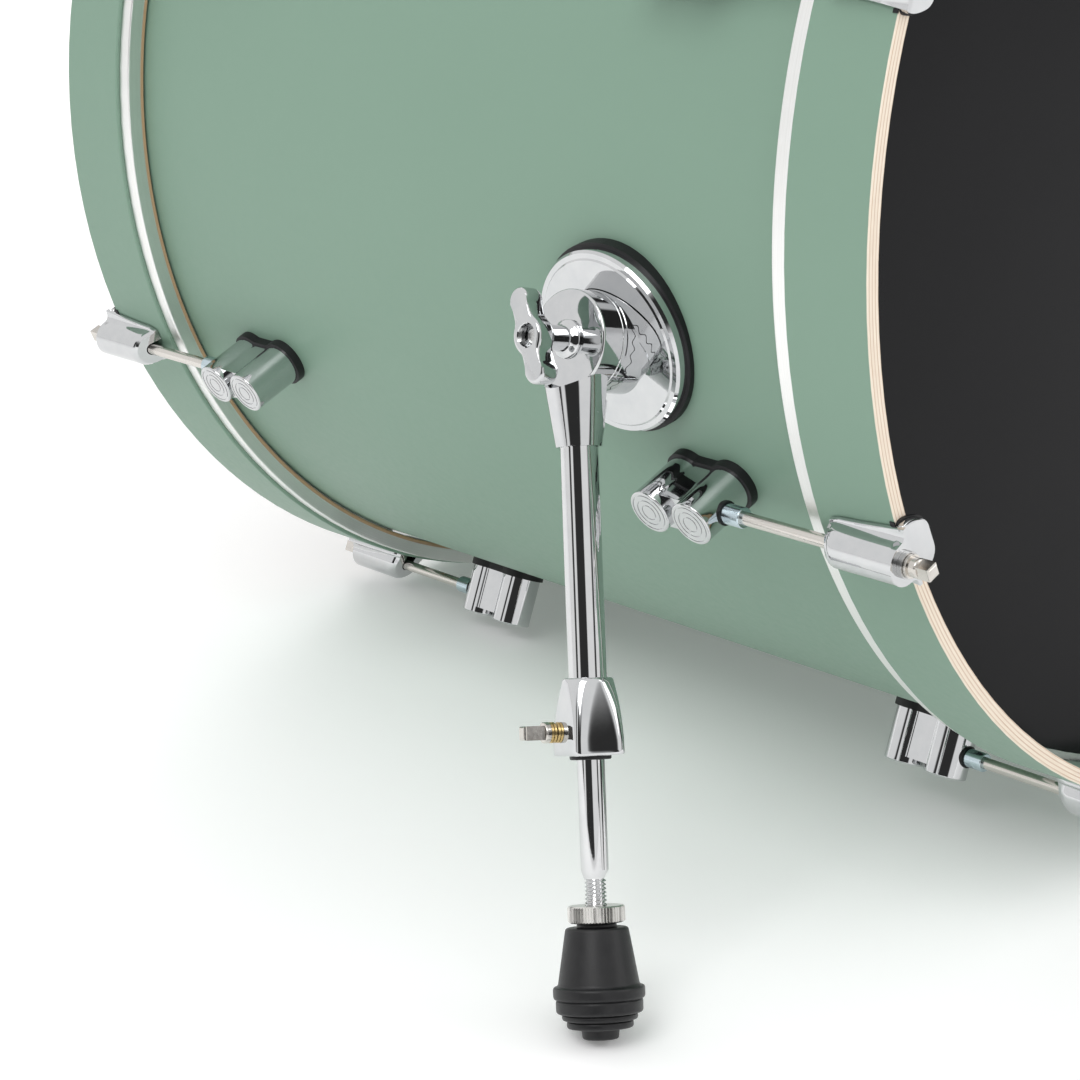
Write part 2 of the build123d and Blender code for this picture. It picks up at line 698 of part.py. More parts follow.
def make_inner_rod(reach):
    """Rod that slides in the upper tube, with a threaded stud and a floor spike at its end."""
    stud_top = reach - STUD_TOP
    tip = reach - SPIKE_TIP
    outline = [
        (0, INNER_ROD_START),
        (INNER_ROD_RADIUS - EDGE_ROUND, INNER_ROD_START),
        (INNER_ROD_RADIUS, INNER_ROD_START + EDGE_ROUND),
        (INNER_ROD_RADIUS, stud_top - STUD_CHAMFER),
        (STUD_RADIUS, stud_top),
        (STUD_RADIUS, tip - SPIKE_LENGTH),
        (0, tip),
    ]
    return along_leg(turned(outline))


def make_knurled_nut(reach):
    points = []
    for i in range(2 * NUT_KNURLS):
        angle = math.pi * i / NUT_KNURLS
        radius = NUT_RADIUS - KNURL_DEPTH * (i % 2)
        points.append((radius * math.cos(angle), radius * math.sin(angle)))
    start, end = reach - NUT_TOP, reach - NUT_BOTTOM
    star = Pos(0, 0, start) * extrude(Polygon(*points, align=None), end - start)
    edge = NUT_RADIUS - NUT_CHAMFER
    envelope = [
        (0, start),
        (edge, start),
        (NUT_RADIUS, start + NUT_CHAMFER),
        (NUT_RADIUS, end - NUT_CHAMFER),
        (edge, end),
        (0, end),
    ]
    nut = (star & turned(envelope)) - bar(STUD_RADIUS + RUNNING, 0, FAR)
    return along_leg(nut)


def make_rubber_foot(reach):
    """Cone on a stepped dome, bored so that it can climb the stud and let the spike through."""
    foot = fillet(bar(FOOT_DOME_RADIUS, 0, FOOT_DOME).edges().group_by(Axis.Z)[0], FOOT_DOME / 2)
    low = FOOT_DOME
    for high, radius in FOOT_STEPS:
        foot += fillet(bar(radius, low, high).edges(), FOOT_ROUND)
        low = high
    waist = low
    cone = turned([(0, waist), (FOOT_WAIST_RADIUS, waist), (FOOT_TOP_RADIUS, FOOT_TOP), (0, FOOT_TOP)])
    foot += fillet(cone.edges().group_by(Axis.Z)[-1], FOOT_ROUND)
    foot += bar(FOOT_NECK_RADIUS, waist, FOOT_NECK_TOP)
    cone_top = SPIKE_TIP + SPIKE_LENGTH - FOOT_TRAVEL
    foot -= turned(
        [
            (0, -CLEAR),
            (FOOT_HOLE_RADIUS, -CLEAR),
            (STUD_RADIUS + RUNNING, cone_top),
            (STUD_RADIUS + RUNNING, FAR),
            (0, FAR),
        ]
    )
    return along_leg(Pos(0, 0, reach) * Rot(180, 0, 0) * foot)


# ---------------------------------------------------------------- stance


def tilted(solid):
    """Raises the front of the drum about its own centre."""
    return Rot(-TILT, 0, 0) * solid


def lowest(solid):
    return tilted(solid).bounding_box().min.Z


def leg_reach(floor):
    """Length from hinge to foot tip at which the rubber foot just meets the floor."""
    gap = lowest(hinge_frame() * make_rubber_foot(GUESSED_REACH)) - floor
    drop_per_mm = -tilted(Pos(leg_direction())).position.Z
    return GUESSED_REACH + gap / drop_per_mm


# ---------------------------------------------------------------- all the nodes


def drum_nodes():
    batter = {
        "hoop": [make_hoop()],
        "flesh_hoop": [make_flesh_hoop()],
        "head": [make_head()],
        "lugs": ring_of(make_lug(), LUG_Y),
        "claws": ring_of(make_claw(), radius=HOOP_RADIUS),
    }
    nodes = {"shell": [make_shell()], "vent_grommet": [make_vent_grommet()]}
    for name, solids in batter.items():
        nodes["batter_" + name] = solids
        nodes["front_" + name] = to_front(solids)
    lug_screw = make_screw(BOSS_TOP - CLEAR)
    shared = {
        "lug_gaskets": ring_of(make_lug_gasket(), LUG_Y),
        "lug_screws": ring_of(lug_screw, LUG_Y - TURRET_Y) + ring_of(lug_screw, LUG_Y + TURRET_Y),
        "swivel_nuts": ring_of(make_swivel_nut(), LUG_Y),
        "swivel_bushes": ring_of(make_swivel_bush(), LUG_Y),
        "claw_liners": ring_of(make_claw_liner(), radius=HOOP_RADIUS),
        "rod_washers": [piece for ring in make_rod_washers() for piece in ring_of(ring, radius=ROD_CIRCLE)],
    }
    for name, solids in shared.items():
        nodes[name] = solids + to_front(solids)
    for number, rod in enumerate(ring_of(make_rod(), radius=ROD_CIRCLE), start=1):
        nodes[f"batter_rod_{number}"] = [rod]
        nodes[f"front_rod_{number}"] = to_front([rod])
    return nodes


def spur_nodes(reach):
    gasket = make_spur_gasket()
    bracket = make_spur_bracket()
    screws = make_bracket_screws()
    nodes = {
        "spur_gaskets": [gasket, to_right(gasket)],
        "spur_bracket_screws": screws + [to_right(screw) for screw in screws],
        "left_spur_bracket": [bracket],
        "right_spur_bracket": [to_right(bracket)],
    }
    leg = {
        "leg_socket": [make_leg_socket()],
        "socket_pin": [make_socket_pin()],
        "hinge_bolt": [make_hinge_bolt()],
        "wing_nut": [make_wing_nut()],
        "upper_tube": [make_upper_tube()],
        "memory_lock": [make_memory_lock()],
        "lock_screw": [make_lock_screw()],
        "lock_washers": make_lock_washers(),
        "inner_rod": [make_inner_rod(reach)],
        "knurled_nut": [make_knurled_nut(reach)],
        "rubber_foot": [make_rubber_foot(reach)],
    }
    for name, solids in leg.items():
        placed = [hinge_frame() * solid for solid in solids]
        nodes["left_" + name] = placed
        nodes["right_" + name] = [to_right(solid) for solid in placed]
    return nodes


def main():
    floor = lowest(make_hoop())
    nodes = {**drum_nodes(), **spur_nodes(leg_reach(floor))}
    standing = {name: Compound([Pos(0, 0, -floor) * tilted(s) for s in solids]) for name, solids in nodes.items()}
    low = min(node.bounding_box().min.Y for node in standing.values())
    high = max(node.bounding_box().max.Y for node in standing.values())
    to_middle = Pos(0, -(low + high) / 2, 0)
    os.makedirs("parts", exist_ok=True)
    for name, node in standing.items():
        export_step(to_middle * node, f"parts/{name}.step")
    print("moved by", -(low + high) / 2, "along the floor and", -floor, "up")
    print("hinge to foot tip", leg_reach(floor))


main()
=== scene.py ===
import json
import math

import bmesh
import bpy
from mathutils import Matrix, Vector


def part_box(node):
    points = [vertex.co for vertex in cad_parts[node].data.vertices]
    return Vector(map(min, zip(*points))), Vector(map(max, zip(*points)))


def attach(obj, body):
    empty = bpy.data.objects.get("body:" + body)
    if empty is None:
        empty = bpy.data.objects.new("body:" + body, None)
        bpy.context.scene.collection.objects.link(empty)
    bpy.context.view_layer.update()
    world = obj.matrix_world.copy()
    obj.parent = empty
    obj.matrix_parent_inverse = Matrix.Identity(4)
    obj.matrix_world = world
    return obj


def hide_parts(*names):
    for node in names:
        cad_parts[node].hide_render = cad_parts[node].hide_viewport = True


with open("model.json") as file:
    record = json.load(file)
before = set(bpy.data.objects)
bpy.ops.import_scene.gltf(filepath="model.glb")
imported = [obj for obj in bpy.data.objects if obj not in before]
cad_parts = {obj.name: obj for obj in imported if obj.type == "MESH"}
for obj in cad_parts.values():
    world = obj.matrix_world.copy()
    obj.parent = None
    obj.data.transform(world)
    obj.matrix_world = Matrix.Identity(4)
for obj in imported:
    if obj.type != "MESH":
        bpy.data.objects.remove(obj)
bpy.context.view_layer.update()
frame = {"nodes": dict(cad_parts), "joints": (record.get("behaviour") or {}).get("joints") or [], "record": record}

# The looks of a bass drum: painted wooden shell and hoops, satin flesh hoops, chromed metalwork.
# Most imported nodes keep their shapes, and each takes a node-based material from its material slot.
# Claws, claw liners, wing nuts, memory locks, inner rods and rubber feet stand for their nodes with
# finer shapes. The hinges get toothed bands with a black ring in their seam that is painted shadow,
# a socket apron and a ring under the lock.

MM = 0.001
QUARTER = math.pi / 2

# ------------------------------------------------------------------ places, read from the frame

joints = {joint["name"]: joint for joint in frame["joints"]}


def middle_of(node):
    low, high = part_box(node)
    return (low + high) / 2


DRUM_MIDDLE = middle_of("shell")
DRUM_AXIS = Vector(joints["batter_rod_1_turn"]["axis"])
if DRUM_AXIS.y < 0:
    DRUM_AXIS = -DRUM_AXIS
TILT = math.atan2(-DRUM_AXIS.z, DRUM_AXIS.y)
SHELL_RADIUS = (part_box("shell")[1].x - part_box("shell")[0].x) / 2
SHELL_WALL = 6.0 * MM


class LegFrame:
    """Where one spur's leg is: the hinge's pivot and outward axis, and the direction down the leg."""

    def __init__(self, side):
        self.side = side
        hinge = joints[f"{side}_leg_fold"]
        self.pivot = Vector(hinge["pos_m"])
        self.down = Vector(joints[f"{side}_leg_length"]["axis"]).normalized()
        outward = Vector(hinge["axis"]).normalized()
        self.outward = outward if outward.x * self.pivot.x > 0 else -outward
        self.hand = -1 if self.outward.cross(self.down).y > 0 else 1

    def span(self, node, axis):
        """Lowest and highest place of a node along an axis through the pivot."""
        places = [(v.co - self.pivot).dot(axis) for v in frame["nodes"][node].data.vertices]
        return min(places), max(places)

    def reach(self, node, axis):
        """Largest distance of a node from an axis through the pivot."""
        return max((v.co - self.pivot).cross(axis).length for v in frame["nodes"][node].data.vertices)

    def along(self, axis):
        """Matrix of a frame at the pivot whose +Z is the axis and whose +X is the most downward."""
        side_axis = self.outward if axis is self.down else self.down
        y = axis.cross(side_axis).normalized()
        x = y.cross(axis)
        turn = Matrix((x, y, axis)).transposed()
        return Matrix.Translation(self.pivot) @ turn.to_4x4()


# ------------------------------------------------------------------ building materials


class Tree:
    """A material's node tree, with short calls for the nodes that the finishes use."""

    def __init__(self, name):
        self.material = bpy.data.materials.new(name)
        self.material.use_nodes = True
        self.nodes = self.material.node_tree.nodes
        self.links = self.material.node_tree.links
        self.shader = self.nodes["Principled BSDF"]

    def set(self, node, place, value):
        """Gives a socket a value, or links another node's socket to it."""
        if isinstance(value, bpy.types.NodeSocket):
            self.links.new(value, node.inputs[place])
        else:
            node.inputs[place].default_value = value

    def add(self, kind, inputs, **settings):
        node = self.nodes.new(kind)
        for name, value in settings.items():
            setattr(node, name, value)
        for place, value in inputs.items():
            self.set(node, place, value)
        return node

    def finish(self, **sockets):
        for name, value in sockets.items():
            self.set(self.shader, name.replace("_", " "), value)
        return self.material

    def maths(self, operation, *values):
        return self.add("ShaderNodeMath", dict(enumerate(values)), operation=operation).outputs[0]

    def place(self):
        return self.add("ShaderNodeTexCoord", {}).outputs["Object"]

    def stretched(self, vector, scale):
        """The vector scaled, so that a noise on it is drawn out along one axis."""
        return self.add("ShaderNodeMapping", {"Vector": vector, "Scale": scale}).outputs[0]

    def noise(self, vector, scale, detail=3.0, roughness=0.5):
        inputs = {"Vector": vector, "Scale": scale, "Detail": detail, "Roughness": roughness}
        return self.add("ShaderNodeTexNoise", inputs).outputs["Fac"]

    def ramp(self, value, low, high, low_out, high_out):
        """Maps a range of values onto another, held at its ends."""
        inputs = {"Value": value, 1: low, 2: high, 3: low_out, 4: high_out}
        return self.add("ShaderNodeMapRange", inputs, clamp=True).outputs[0]

    def blend(self, share, first, second):
        inputs = {"Factor": share, 6: first, 7: second}
        return self.add("ShaderNodeMix", inputs, data_type="RGBA").outputs[2]

    def bump(self, height, distance, strength=1.0):
        inputs = {"Height": height, "Distance": distance, "Strength": strength}
        return self.add("ShaderNodeBump", inputs).outputs[0]


class DrumSpace:
    """A point's place in the drum's own frame, and whether its surface looks out along the drum."""

    def __init__(self, tree):
        inputs = {"Vector": tree.place(), "Location": DRUM_MIDDLE, "Rotation": (-TILT, 0, 0)}
        self.vector = tree.add("ShaderNodeMapping", inputs, vector_type="TEXTURE").outputs[0]
        parts = tree.add("ShaderNodeSeparateXYZ", {0: self.vector}).outputs
        self.along = parts[1]
        squares = [tree.maths("MULTIPLY", part, part) for part in (parts[0], parts[2])]
        self.radius = tree.maths("SQRT", tree.maths("ADD", *squares))
        arc = tree.maths("MULTIPLY", tree.maths("ARCTAN2", parts[0], parts[2]), SHELL_RADIUS)
        inputs = {0: arc, 1: self.along, 2: self.radius}
        self.unrolled = tree.add("ShaderNodeCombineXYZ", inputs).outputs[0]
        normal = tree.add("ShaderNodeTexCoord", {}).outputs["Normal"]
        inputs = {0: normal, 1: tuple(DRUM_AXIS)}
        facing = tree.add("ShaderNodeVectorMath", inputs, operation="DOT_PRODUCT").outputs["Value"]
        self.facing_out = tree.maths("MULTIPLY", facing, tree.maths("SIGN", self.along))


# ------------------------------------------------------------------ finishes

PAINT_LIGHT = (0.209, 0.328, 0.250, 1)
PAINT_DARK = (0.200, 0.315, 0.240, 1)
PAINT_MARGIN = 0.1 * MM
PAINT_FADE = 0.2 * MM
PEEL_DEPTH = 0.012 * MM
PLY = 1.75 * MM
PLY_WAVER = 0.25 * MM
PLY_CREAM = (0.92, 0.82, 0.69, 1)
PLY_TAN = (0.62, 0.44, 0.31, 1)
MAPLE_LIGHT = (0.72, 0.53, 0.33, 1)
MAPLE_DARK = (0.55, 0.37, 0.20, 1)
ALUMINIUM_LIGHT = (0.95, 0.95, 0.94, 1)
ALUMINIUM_DARK = (0.80, 0.80, 0.78, 1)
LINE_DEPTH = 0.006 * MM
RESIN = (0.52, 0.34, 0.20, 1)
RESIN_WIDTH = 3.0 * MM
RESIN_FADE = 0.4 * MM
FILM_WAVE = 0.1 * MM
FILM_HAZE = 0.15 * MM
METAL_SCALE = 120.0
ALONG_DRUM = (1, 0.02, 1)
ALONG_LEG = (1, 0.03, 0.03)

# Metals: dark and light colour, range of roughness, fineness and depth of the relief, stretch
METALS = {
    "cast_chrome": ((0.59, 0.60, 0.61, 1), (0.64, 0.645, 0.65, 1), (0.03, 0.05), 3.0, 0.003 * MM),
    "tube_chrome": ((0.64, 0.645, 0.65, 1), (0.68, 0.685, 0.69, 1), (0.03, 0.05), 4.0, 0.003 * MM),
    "zinc_sleeve": ((0.48, 0.58, 0.63, 1), (0.58, 0.68, 0.73, 1), (0.14, 0.22), 2.0, 0.002 * MM),
    "rod_steel": (
        (0.58, 0.55, 0.51, 1), (0.74, 0.71, 0.67, 1), (0.16, 0.26), 5.0, 0.01 * MM, ALONG_DRUM
    ),
    "screw_steel": ((0.50, 0.50, 0.50, 1), (0.66, 0.66, 0.65, 1), (0.22, 0.36), 4.0, 0.01 * MM),
    "knurled_steel": (
        (0.62, 0.61, 0.58, 1), (0.76, 0.75, 0.72, 1), (0.18, 0.30), 6.0, 0.01 * MM, ALONG_LEG
    ),
    "washer_brass": ((0.62, 0.42, 0.16, 1), (0.80, 0.60, 0.28, 1), (0.20, 0.32), 4.0, 0.01 * MM),
}
# Rubbers: dark and light colour, range of roughness, scale and depth of the grain
RUBBERS = {
    "gasket_rubber": (
        (0.004, 0.004, 0.005, 1), (0.009, 0.009, 0.010, 1), (0.42, 0.58), 1600.0, 0.02 * MM
    ),
    "foot_rubber": (
        (0.006, 0.006, 0.007, 1), (0.013, 0.013, 0.014, 1), (0.34, 0.50), 1500.0, 0.05 * MM
    ),
}


def paint_colour(tree, space):
    cloud = tree.noise(space.vector, 4.0)
    return tree.blend(tree.ramp(cloud, 0.3, 0.7, 0, 1), PAINT_DARK, PAINT_LIGHT)


def ply_colour(tree, space):
    """Bare plies at an edge: cream layers with thin tan ones, broken up along the edge."""
    waver = tree.noise(tree.stretched(space.unrolled, (60, 300, 60)), 1.0)
    shifted = tree.maths("MULTIPLY_ADD", waver, PLY_WAVER, space.radius)
    layer = tree.maths("FRACT", tree.maths("DIVIDE", shifted, PLY))
    wave = tree.maths("PINGPONG", layer, 0.5)
    stripe = tree.ramp(wave, 0.10, 0.20, 0, 1)
    fibre = tree.noise(tree.stretched(space.unrolled, (90, 2500, 2500)), 1.0)
    tan = tree.blend(tree.ramp(fibre, 0.3, 0.7, 0, 0.5), PLY_TAN, PLY_CREAM)
    cream = tree.blend(tree.ramp(fibre, 0.35, 0.75, 0, 0.3), PLY_CREAM, PLY_TAN)
    return tree.blend(stripe, tan, cream)


def maple_colour(tree, space):
    """The bare inner ply, with its grain drawn out round the drum; also gives its pores."""
    streak = tree.noise(tree.stretched(space.unrolled, (7, 160, 7)), 1.0, 6.0, 0.6)
    pore = tree.noise(tree.stretched(space.unrolled, (60, 1400, 60)), 1.0, 2.0)
    grain = tree.maths("ADD", tree.ramp(streak, 0.3, 0.7, 0, 0.7), tree.ramp(pore, 0.5, 0.8, 0, 0.3))
    return tree.blend(grain, MAPLE_LIGHT, MAPLE_DARK), pore


def painted_wood(name, inner_radius):
    """Satin paint, with plies bare on the faces that look along the drum and maple bare inside."""
    tree = Tree(name)
    space = DrumSpace(tree)
    edge = tree.ramp(space.facing_out, 0.45, 0.62, 0, 1)
    colour = tree.blend(edge, paint_colour(tree, space), ply_colour(tree, space))
    maple, pore = maple_colour(tree, space)
    inside = tree.ramp(space.radius, inner_radius, inner_radius + PAINT_FADE, 1, 0)
    colour = tree.blend(inside, colour, maple)
    bare = tree.maths("MAXIMUM", edge, inside)
    mottle = tree.noise(space.vector, 260.0, 4.0)
    rough = tree.ramp(mottle, 0.3, 0.7, 0.40, 0.47)
    rough = tree.maths("ADD", rough, tree.maths("MULTIPLY", bare, 0.16))
    orange_peel = tree.noise(space.vector, 700.0, 2.0)
    relief = tree.maths("MULTIPLY_ADD", tree.maths("MULTIPLY", pore, bare), 3.0, orange_peel)
    tree.shader.inputs["Specular IOR Level"].default_value = 0.42
    return tree.finish(Base_Color=colour, Roughness=rough, Normal=tree.bump(relief, PEEL_DEPTH))


def satin_hoop(name):
    """Rolled aluminium, satin, with fine lines round it and the head's resin in its inner face."""
    tree = Tree(name)
    space = DrumSpace(tree)
    lines = tree.noise(tree.stretched(space.unrolled, (6, 5200, 5200)), 1.0, 4.0, 0.7)
    cloud = tree.noise(space.vector, 35.0)
    colour = tree.blend(tree.ramp(lines, 0.3, 0.7, 0, 1), ALUMINIUM_DARK, ALUMINIUM_LIGHT)
    inner_face = tree.ramp(space.facing_out, -0.8, -0.6, 1, 0)
    resin_edge = SHELL_RADIUS + RESIN_WIDTH
    near_shell = tree.ramp(space.radius, resin_edge, resin_edge + RESIN_FADE, 1, 0)
    resin = tree.maths("MULTIPLY", inner_face, near_shell)
    colour = tree.blend(resin, colour, RESIN)
    fine, broad = tree.ramp(lines, 0.3, 0.7, 0.30, 0.38), tree.ramp(cloud, 0.3, 0.7, 0, 0.03)
    rough = tree.maths("ADD", fine, broad)
    bare = tree.maths("SUBTRACT", 1.0, resin)
    relief = tree.bump(lines, LINE_DEPTH)
    return tree.finish(Base_Color=colour, Metallic=bare, Roughness=rough, Normal=relief)


def metal(name, dark, light, rough, grain, relief, stretch=(1, 1, 1)):
    """Plated or bare metal: colour and gloss vary a little, with a fine relief of the given depth."""
    tree = Tree(name)
    place = tree.stretched(tree.place(), stretch)
    cloud = tree.noise(place, METAL_SCALE, 4.0, 0.55)
    fine = tree.noise(place, METAL_SCALE * grain, 3.0)
    colour = tree.blend(tree.ramp(cloud, 0.3, 0.7, 0, 1), dark, light)
    gloss = tree.ramp(tree.maths("ADD", cloud, fine), 0.7, 1.3, rough[0], rough[1])
    tree.shader.inputs["Metallic"].default_value = 1.0
    return tree.finish(Base_Color=colour, Roughness=gloss, Normal=tree.bump(fine, relief))


def rubber(name, dark, light, rough, scale, depth):
    """Moulded rubber with a fine grain, dull in patches."""
    tree = Tree(name)
    place = tree.place()
    cloud = tree.noise(place, scale / 12, 3.0)
    grain = tree.noise(place, scale, 5.0, 0.65)
    colour = tree.blend(tree.ramp(cloud, 0.3, 0.7, 0, 1), dark, light)
    gloss = tree.ramp(tree.maths("ADD", cloud, grain), 0.7, 1.3, rough[0], rough[1])
    tree.shader.inputs["Specular IOR Level"].default_value = 0.4
    return tree.finish(Base_Color=colour, Roughness=gloss, Normal=tree.bump(grain, depth))


def black_film():
    """Black drum head: glossy polyester with a very slight waviness."""
    tree = Tree("black_film")
    space = DrumSpace(tree)
    wave = tree.noise(space.vector, 9.0, 2.0)
    speck = tree.noise(space.vector, 900.0, 2.0)
    colour = tree.blend(wave, (0.004, 0.004, 0.005, 1), (0.008, 0.008, 0.009, 1))
    rough = tree.ramp(speck, 0.3, 0.7, 0.16, 0.22)
    tree.shader.inputs["Specular IOR Level"].default_value = 0.11
    return tree.finish(Base_Color=colour, Roughness=rough, Normal=tree.bump(wave, FILM_WAVE))


def clear_film():
    """Clear drum head: thin polyester, a little milky, seen through."""
    tree = Tree("clear_film")
    space = DrumSpace(tree)
    haze = tree.noise(space.vector, 14.0, 3.0)
    colour = tree.blend(haze, (0.80, 0.83, 0.84, 1), (0.92, 0.93, 0.93, 1))
    rough = tree.ramp(haze, 0.3, 0.7, 0.07, 0.12)
    tree.shader.inputs["Alpha"].default_value = 0.24
    return tree.finish(Base_Color=colour, Roughness=rough, Normal=tree.bump(haze, FILM_HAZE))


def slot_materials():
    finishes = {
        "shell_lacquer": painted_wood("shell_lacquer", SHELL_RADIUS - SHELL_WALL + PAINT_MARGIN),
        "hoop_lacquer": painted_wood("hoop_lacquer", 0.0),
        "flesh_aluminium": satin_hoop("flesh_aluminium"),
        "black_film": black_film(),
        "clear_film": clear_film(),
    }
    for name, values in METALS.items():
        finishes[name] = metal(name, *values)
    for name, values in RUBBERS.items():
        finishes[name] = rubber(name, *values)
    return finishes


materials = slot_materials()


def paint_nodes():
    """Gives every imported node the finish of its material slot."""
    for part in frame["record"]["subparts"]:
        node = frame["nodes"][part["node"]]
        finish = materials[part["material_slot"]]
        if not node.material_slots:
            node.data.materials.append(finish)
        for place in node.material_slots:
            place.material = finish


# ------------------------------------------------------------------ new pieces


def piece_from(mesh, name, slot, body, matrix, smooth_below=40):
    """Finishes a bmesh as a piece in the row frame, with its slot's material, on a body."""
    bmesh.ops.recalc_face_normals(mesh, faces=mesh.faces)
    data = bpy.data.meshes.new(name)
    mesh.to_mesh(data)
    mesh.free()
    data.transform(matrix)
    if matrix.determinant() < 0:
        data.flip_normals()
    data.materials.append(materials[slot])
    data.shade_smooth()
    data.set_sharp_from_angle(angle=math.radians(smooth_below))
    piece = bpy.data.objects.new(name, data)
    bpy.context.scene.collection.objects.link(piece)
    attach(piece, body)
    return piece


def grid(mesh, rows, closed_rows=False):
    """Faces between rows of points; each row goes right round, and so may the rows."""
    made = [[mesh.verts.new(point) for point in row] for row in rows]
    pairs = list(zip(made, made[1:]))
    if closed_rows:
        pairs.append((made[-1], made[0]))
    for low, high in pairs:
        count = len(low)
        for i in range(count):
            j = (i + 1) % count
            mesh.faces.new((low[i], low[j], high[j], high[i]))
    return made


def cap(mesh, row, centre):
    """Closes a row of points with triangles to a centre."""
    point = mesh.verts.new(centre)
    for i, vertex in enumerate(row):
        mesh.faces.new((vertex, row[(i + 1) % len(row)], point))


def close_ends(mesh, made):
    """A flat face over the first and the last row of a grid."""
    mesh.faces.new(made[0])
    mesh.faces.new(made[-1])


def quarter_turn(steps):
    """Angles from zero to a right angle."""
    return [QUARTER * i / steps for i in range(steps + 1)]


def round_row(radius, height, steps, lift=None):
    """A ring of points about +Z; lift, if given, is a height to add for each angle."""
    row = []
    for i in range(steps):
        angle = math.tau * i / steps
        extra = lift(angle) if lift else 0.0
        row.append((radius * math.cos(angle), radius * math.sin(angle), height + extra))
    return row


def ring_piece(name, slot, body, matrix, outline, steps=72):
    """A closed ring turned from an outline of (radius, height) points."""
    mesh = bmesh.new()
    grid(mesh, [round_row(radius, height, steps) for radius, height in outline], closed_rows=True)
    return piece_from(mesh, name, slot, body, matrix, smooth_below=30)


# Ratchet teeth round the seam of a spur's hinge
TEETH = 24
TOOTH_HEIGHT = 2.4 * MM
TOOTH_FLAT = 0.12
TOOTH_SEAM = 0.45 * MM
TOOTH_BAND = 3.4 * MM
TOOTH_PROUD = 0.3 * MM
SHADOW_PROUD = 0.06 * MM
TOOTH_DEPTH = 1.2 * MM
TOOTH_STEPS = 8


def hinge_radius(leg):
    """Radius of the hinge's round head, from the part of the socket that is above the pivot."""
    points = [v.co - leg.pivot for v in frame["nodes"][f"{leg.side}_leg_socket"].data.vertices]
    return max(p.cross(leg.outward).length for p in points if p.dot(leg.down) < 0)


def tooth_line(angle):
    """Height of the toothed seam at an angle: straight flanks with small flats at top and bottom."""
    phase = (angle / math.tau * TEETH) % 1.0
    rise = 1 - abs(2 * phase - 1)
    return TOOTH_HEIGHT * (min(max(rise, TOOTH_FLAT), 1 - TOOTH_FLAT) - 0.5)


def ratchet_teeth(leg):
    """Two toothed bands that mesh, one on each half of the hinge, with a black ring in their seam as painted
    shadow.
    """
    head_radius = hinge_radius(leg)
    seam = leg.span(f"{leg.side}_leg_socket", leg.outward)[0] - TOOTH_SEAM
    outer = head_radius + TOOTH_PROUD
    inner = head_radius - TOOTH_DEPTH
    steps = TEETH * TOOTH_STEPS
    matrix = leg.along(leg.outward)
    for half, body, way in (("fixed", "drum", -1), ("moving", f"{leg.side}_leg", 1)):
        far = seam + way * TOOTH_BAND
        near = seam + way * TOOTH_SEAM / 2
        rows = [
            round_row(outer, near, steps, tooth_line),
            round_row(outer, far, steps),
            round_row(inner, far, steps),
            round_row(inner, near, steps, tooth_line),
        ]
        mesh = bmesh.new()
        grid(mesh, rows, closed_rows=True)
        piece_from(mesh, f"{leg.side}_ratchet_{half}", "cast_chrome", body, matrix, smooth_below=30)
    # Black ring just under the teeth, in the dark rubber finish: painted shadow for the deep seam between the
    # halves.
    band = head_radius + SHADOW_PROUD
    reach = TOOTH_HEIGHT / 2 + TOOTH_SEAM
    outline = [(band, seam - reach), (band, seam + reach), (inner, seam + reach), (inner, seam - reach)]
    ring_piece(f"{leg.side}_ratchet_seam_shadow", "gasket_rubber", "drum", matrix, outline)


# Apron over the leg's socket: a cone that runs up to the hinge's head, open towards the bracket
APRON_TOP = 15.0 * MM
APRON_END = 44.5 * MM
APRON_TOP_RADIUS = 14.1 * MM
APRON_END_RADIUS = 9.7 * MM
APRON_WALL = 1.6 * MM
APRON_HALF_ANGLE = math.radians(113)
APRON_COLUMNS = 48
APRON_ROWS = 10
HEAD_FACE = 4.0 * MM
HEAD_INSET = 0.4 * MM


def apron_radius(place):
    share = (place - APRON_TOP) / (APRON_END - APRON_TOP)
    return APRON_TOP_RADIUS + (APRON_END_RADIUS - APRON_TOP_RADIUS) * share


def apron_start(angle, head_radius):
    """Where the apron begins: under the hinge's head, or at its rim in front of the head's face."""
    if APRON_TOP_RADIUS * math.cos(angle) < HEAD_FACE:
        return APRON_TOP
    across = (APRON_TOP_RADIUS - APRON_WALL) * math.sin(angle)
    rim = math.sqrt((head_radius - HEAD_INSET) ** 2 - across ** 2)
    return max(rim, APRON_TOP)


def socket_apron(leg):
    head_radius = hinge_radius(leg)
    rows = []
    for i in range(APRON_COLUMNS + 1):
        angle = APRON_HALF_ANGLE * (2 * i / APRON_COLUMNS - 1)
        start = apron_start(angle, head_radius)
        outer, inner = [], []
        for j in range(APRON_ROWS + 1):
            place = start + (APRON_END - start) * j / APRON_ROWS
            for column, wall in ((outer, 0.0), (inner, APRON_WALL)):
                radius = apron_radius(place) - wall
                column.append((place, radius * math.sin(angle), radius * math.cos(angle)))
        rows.append(outer + inner[::-1])
    mesh = bmesh.new()
    close_ends(mesh, grid(mesh, rows))
    name, body = f"{leg.side}_socket_apron", f"{leg.side}_leg"
    piece_from(mesh, name, "cast_chrome", body, leg.along(leg.outward), smooth_below=35)


# Rod with a threaded stud
THREAD_PITCH = 25.4 / 16 * MM
THREAD_DEPTH = 0.9 * MM
THREAD_FLANK = 1.3
THREAD_CREST = 0.15
THREAD_STEPS = 36
THREAD_ROWS_PER_TURN = 10
STUD_RADIUS = 4.6 * MM
STUD_TOP = 57.0 * MM
STUD_END = 15.0 * MM
ROD_CHAMFER = 3.6 * MM
ROD_EDGE = 1.0 * MM


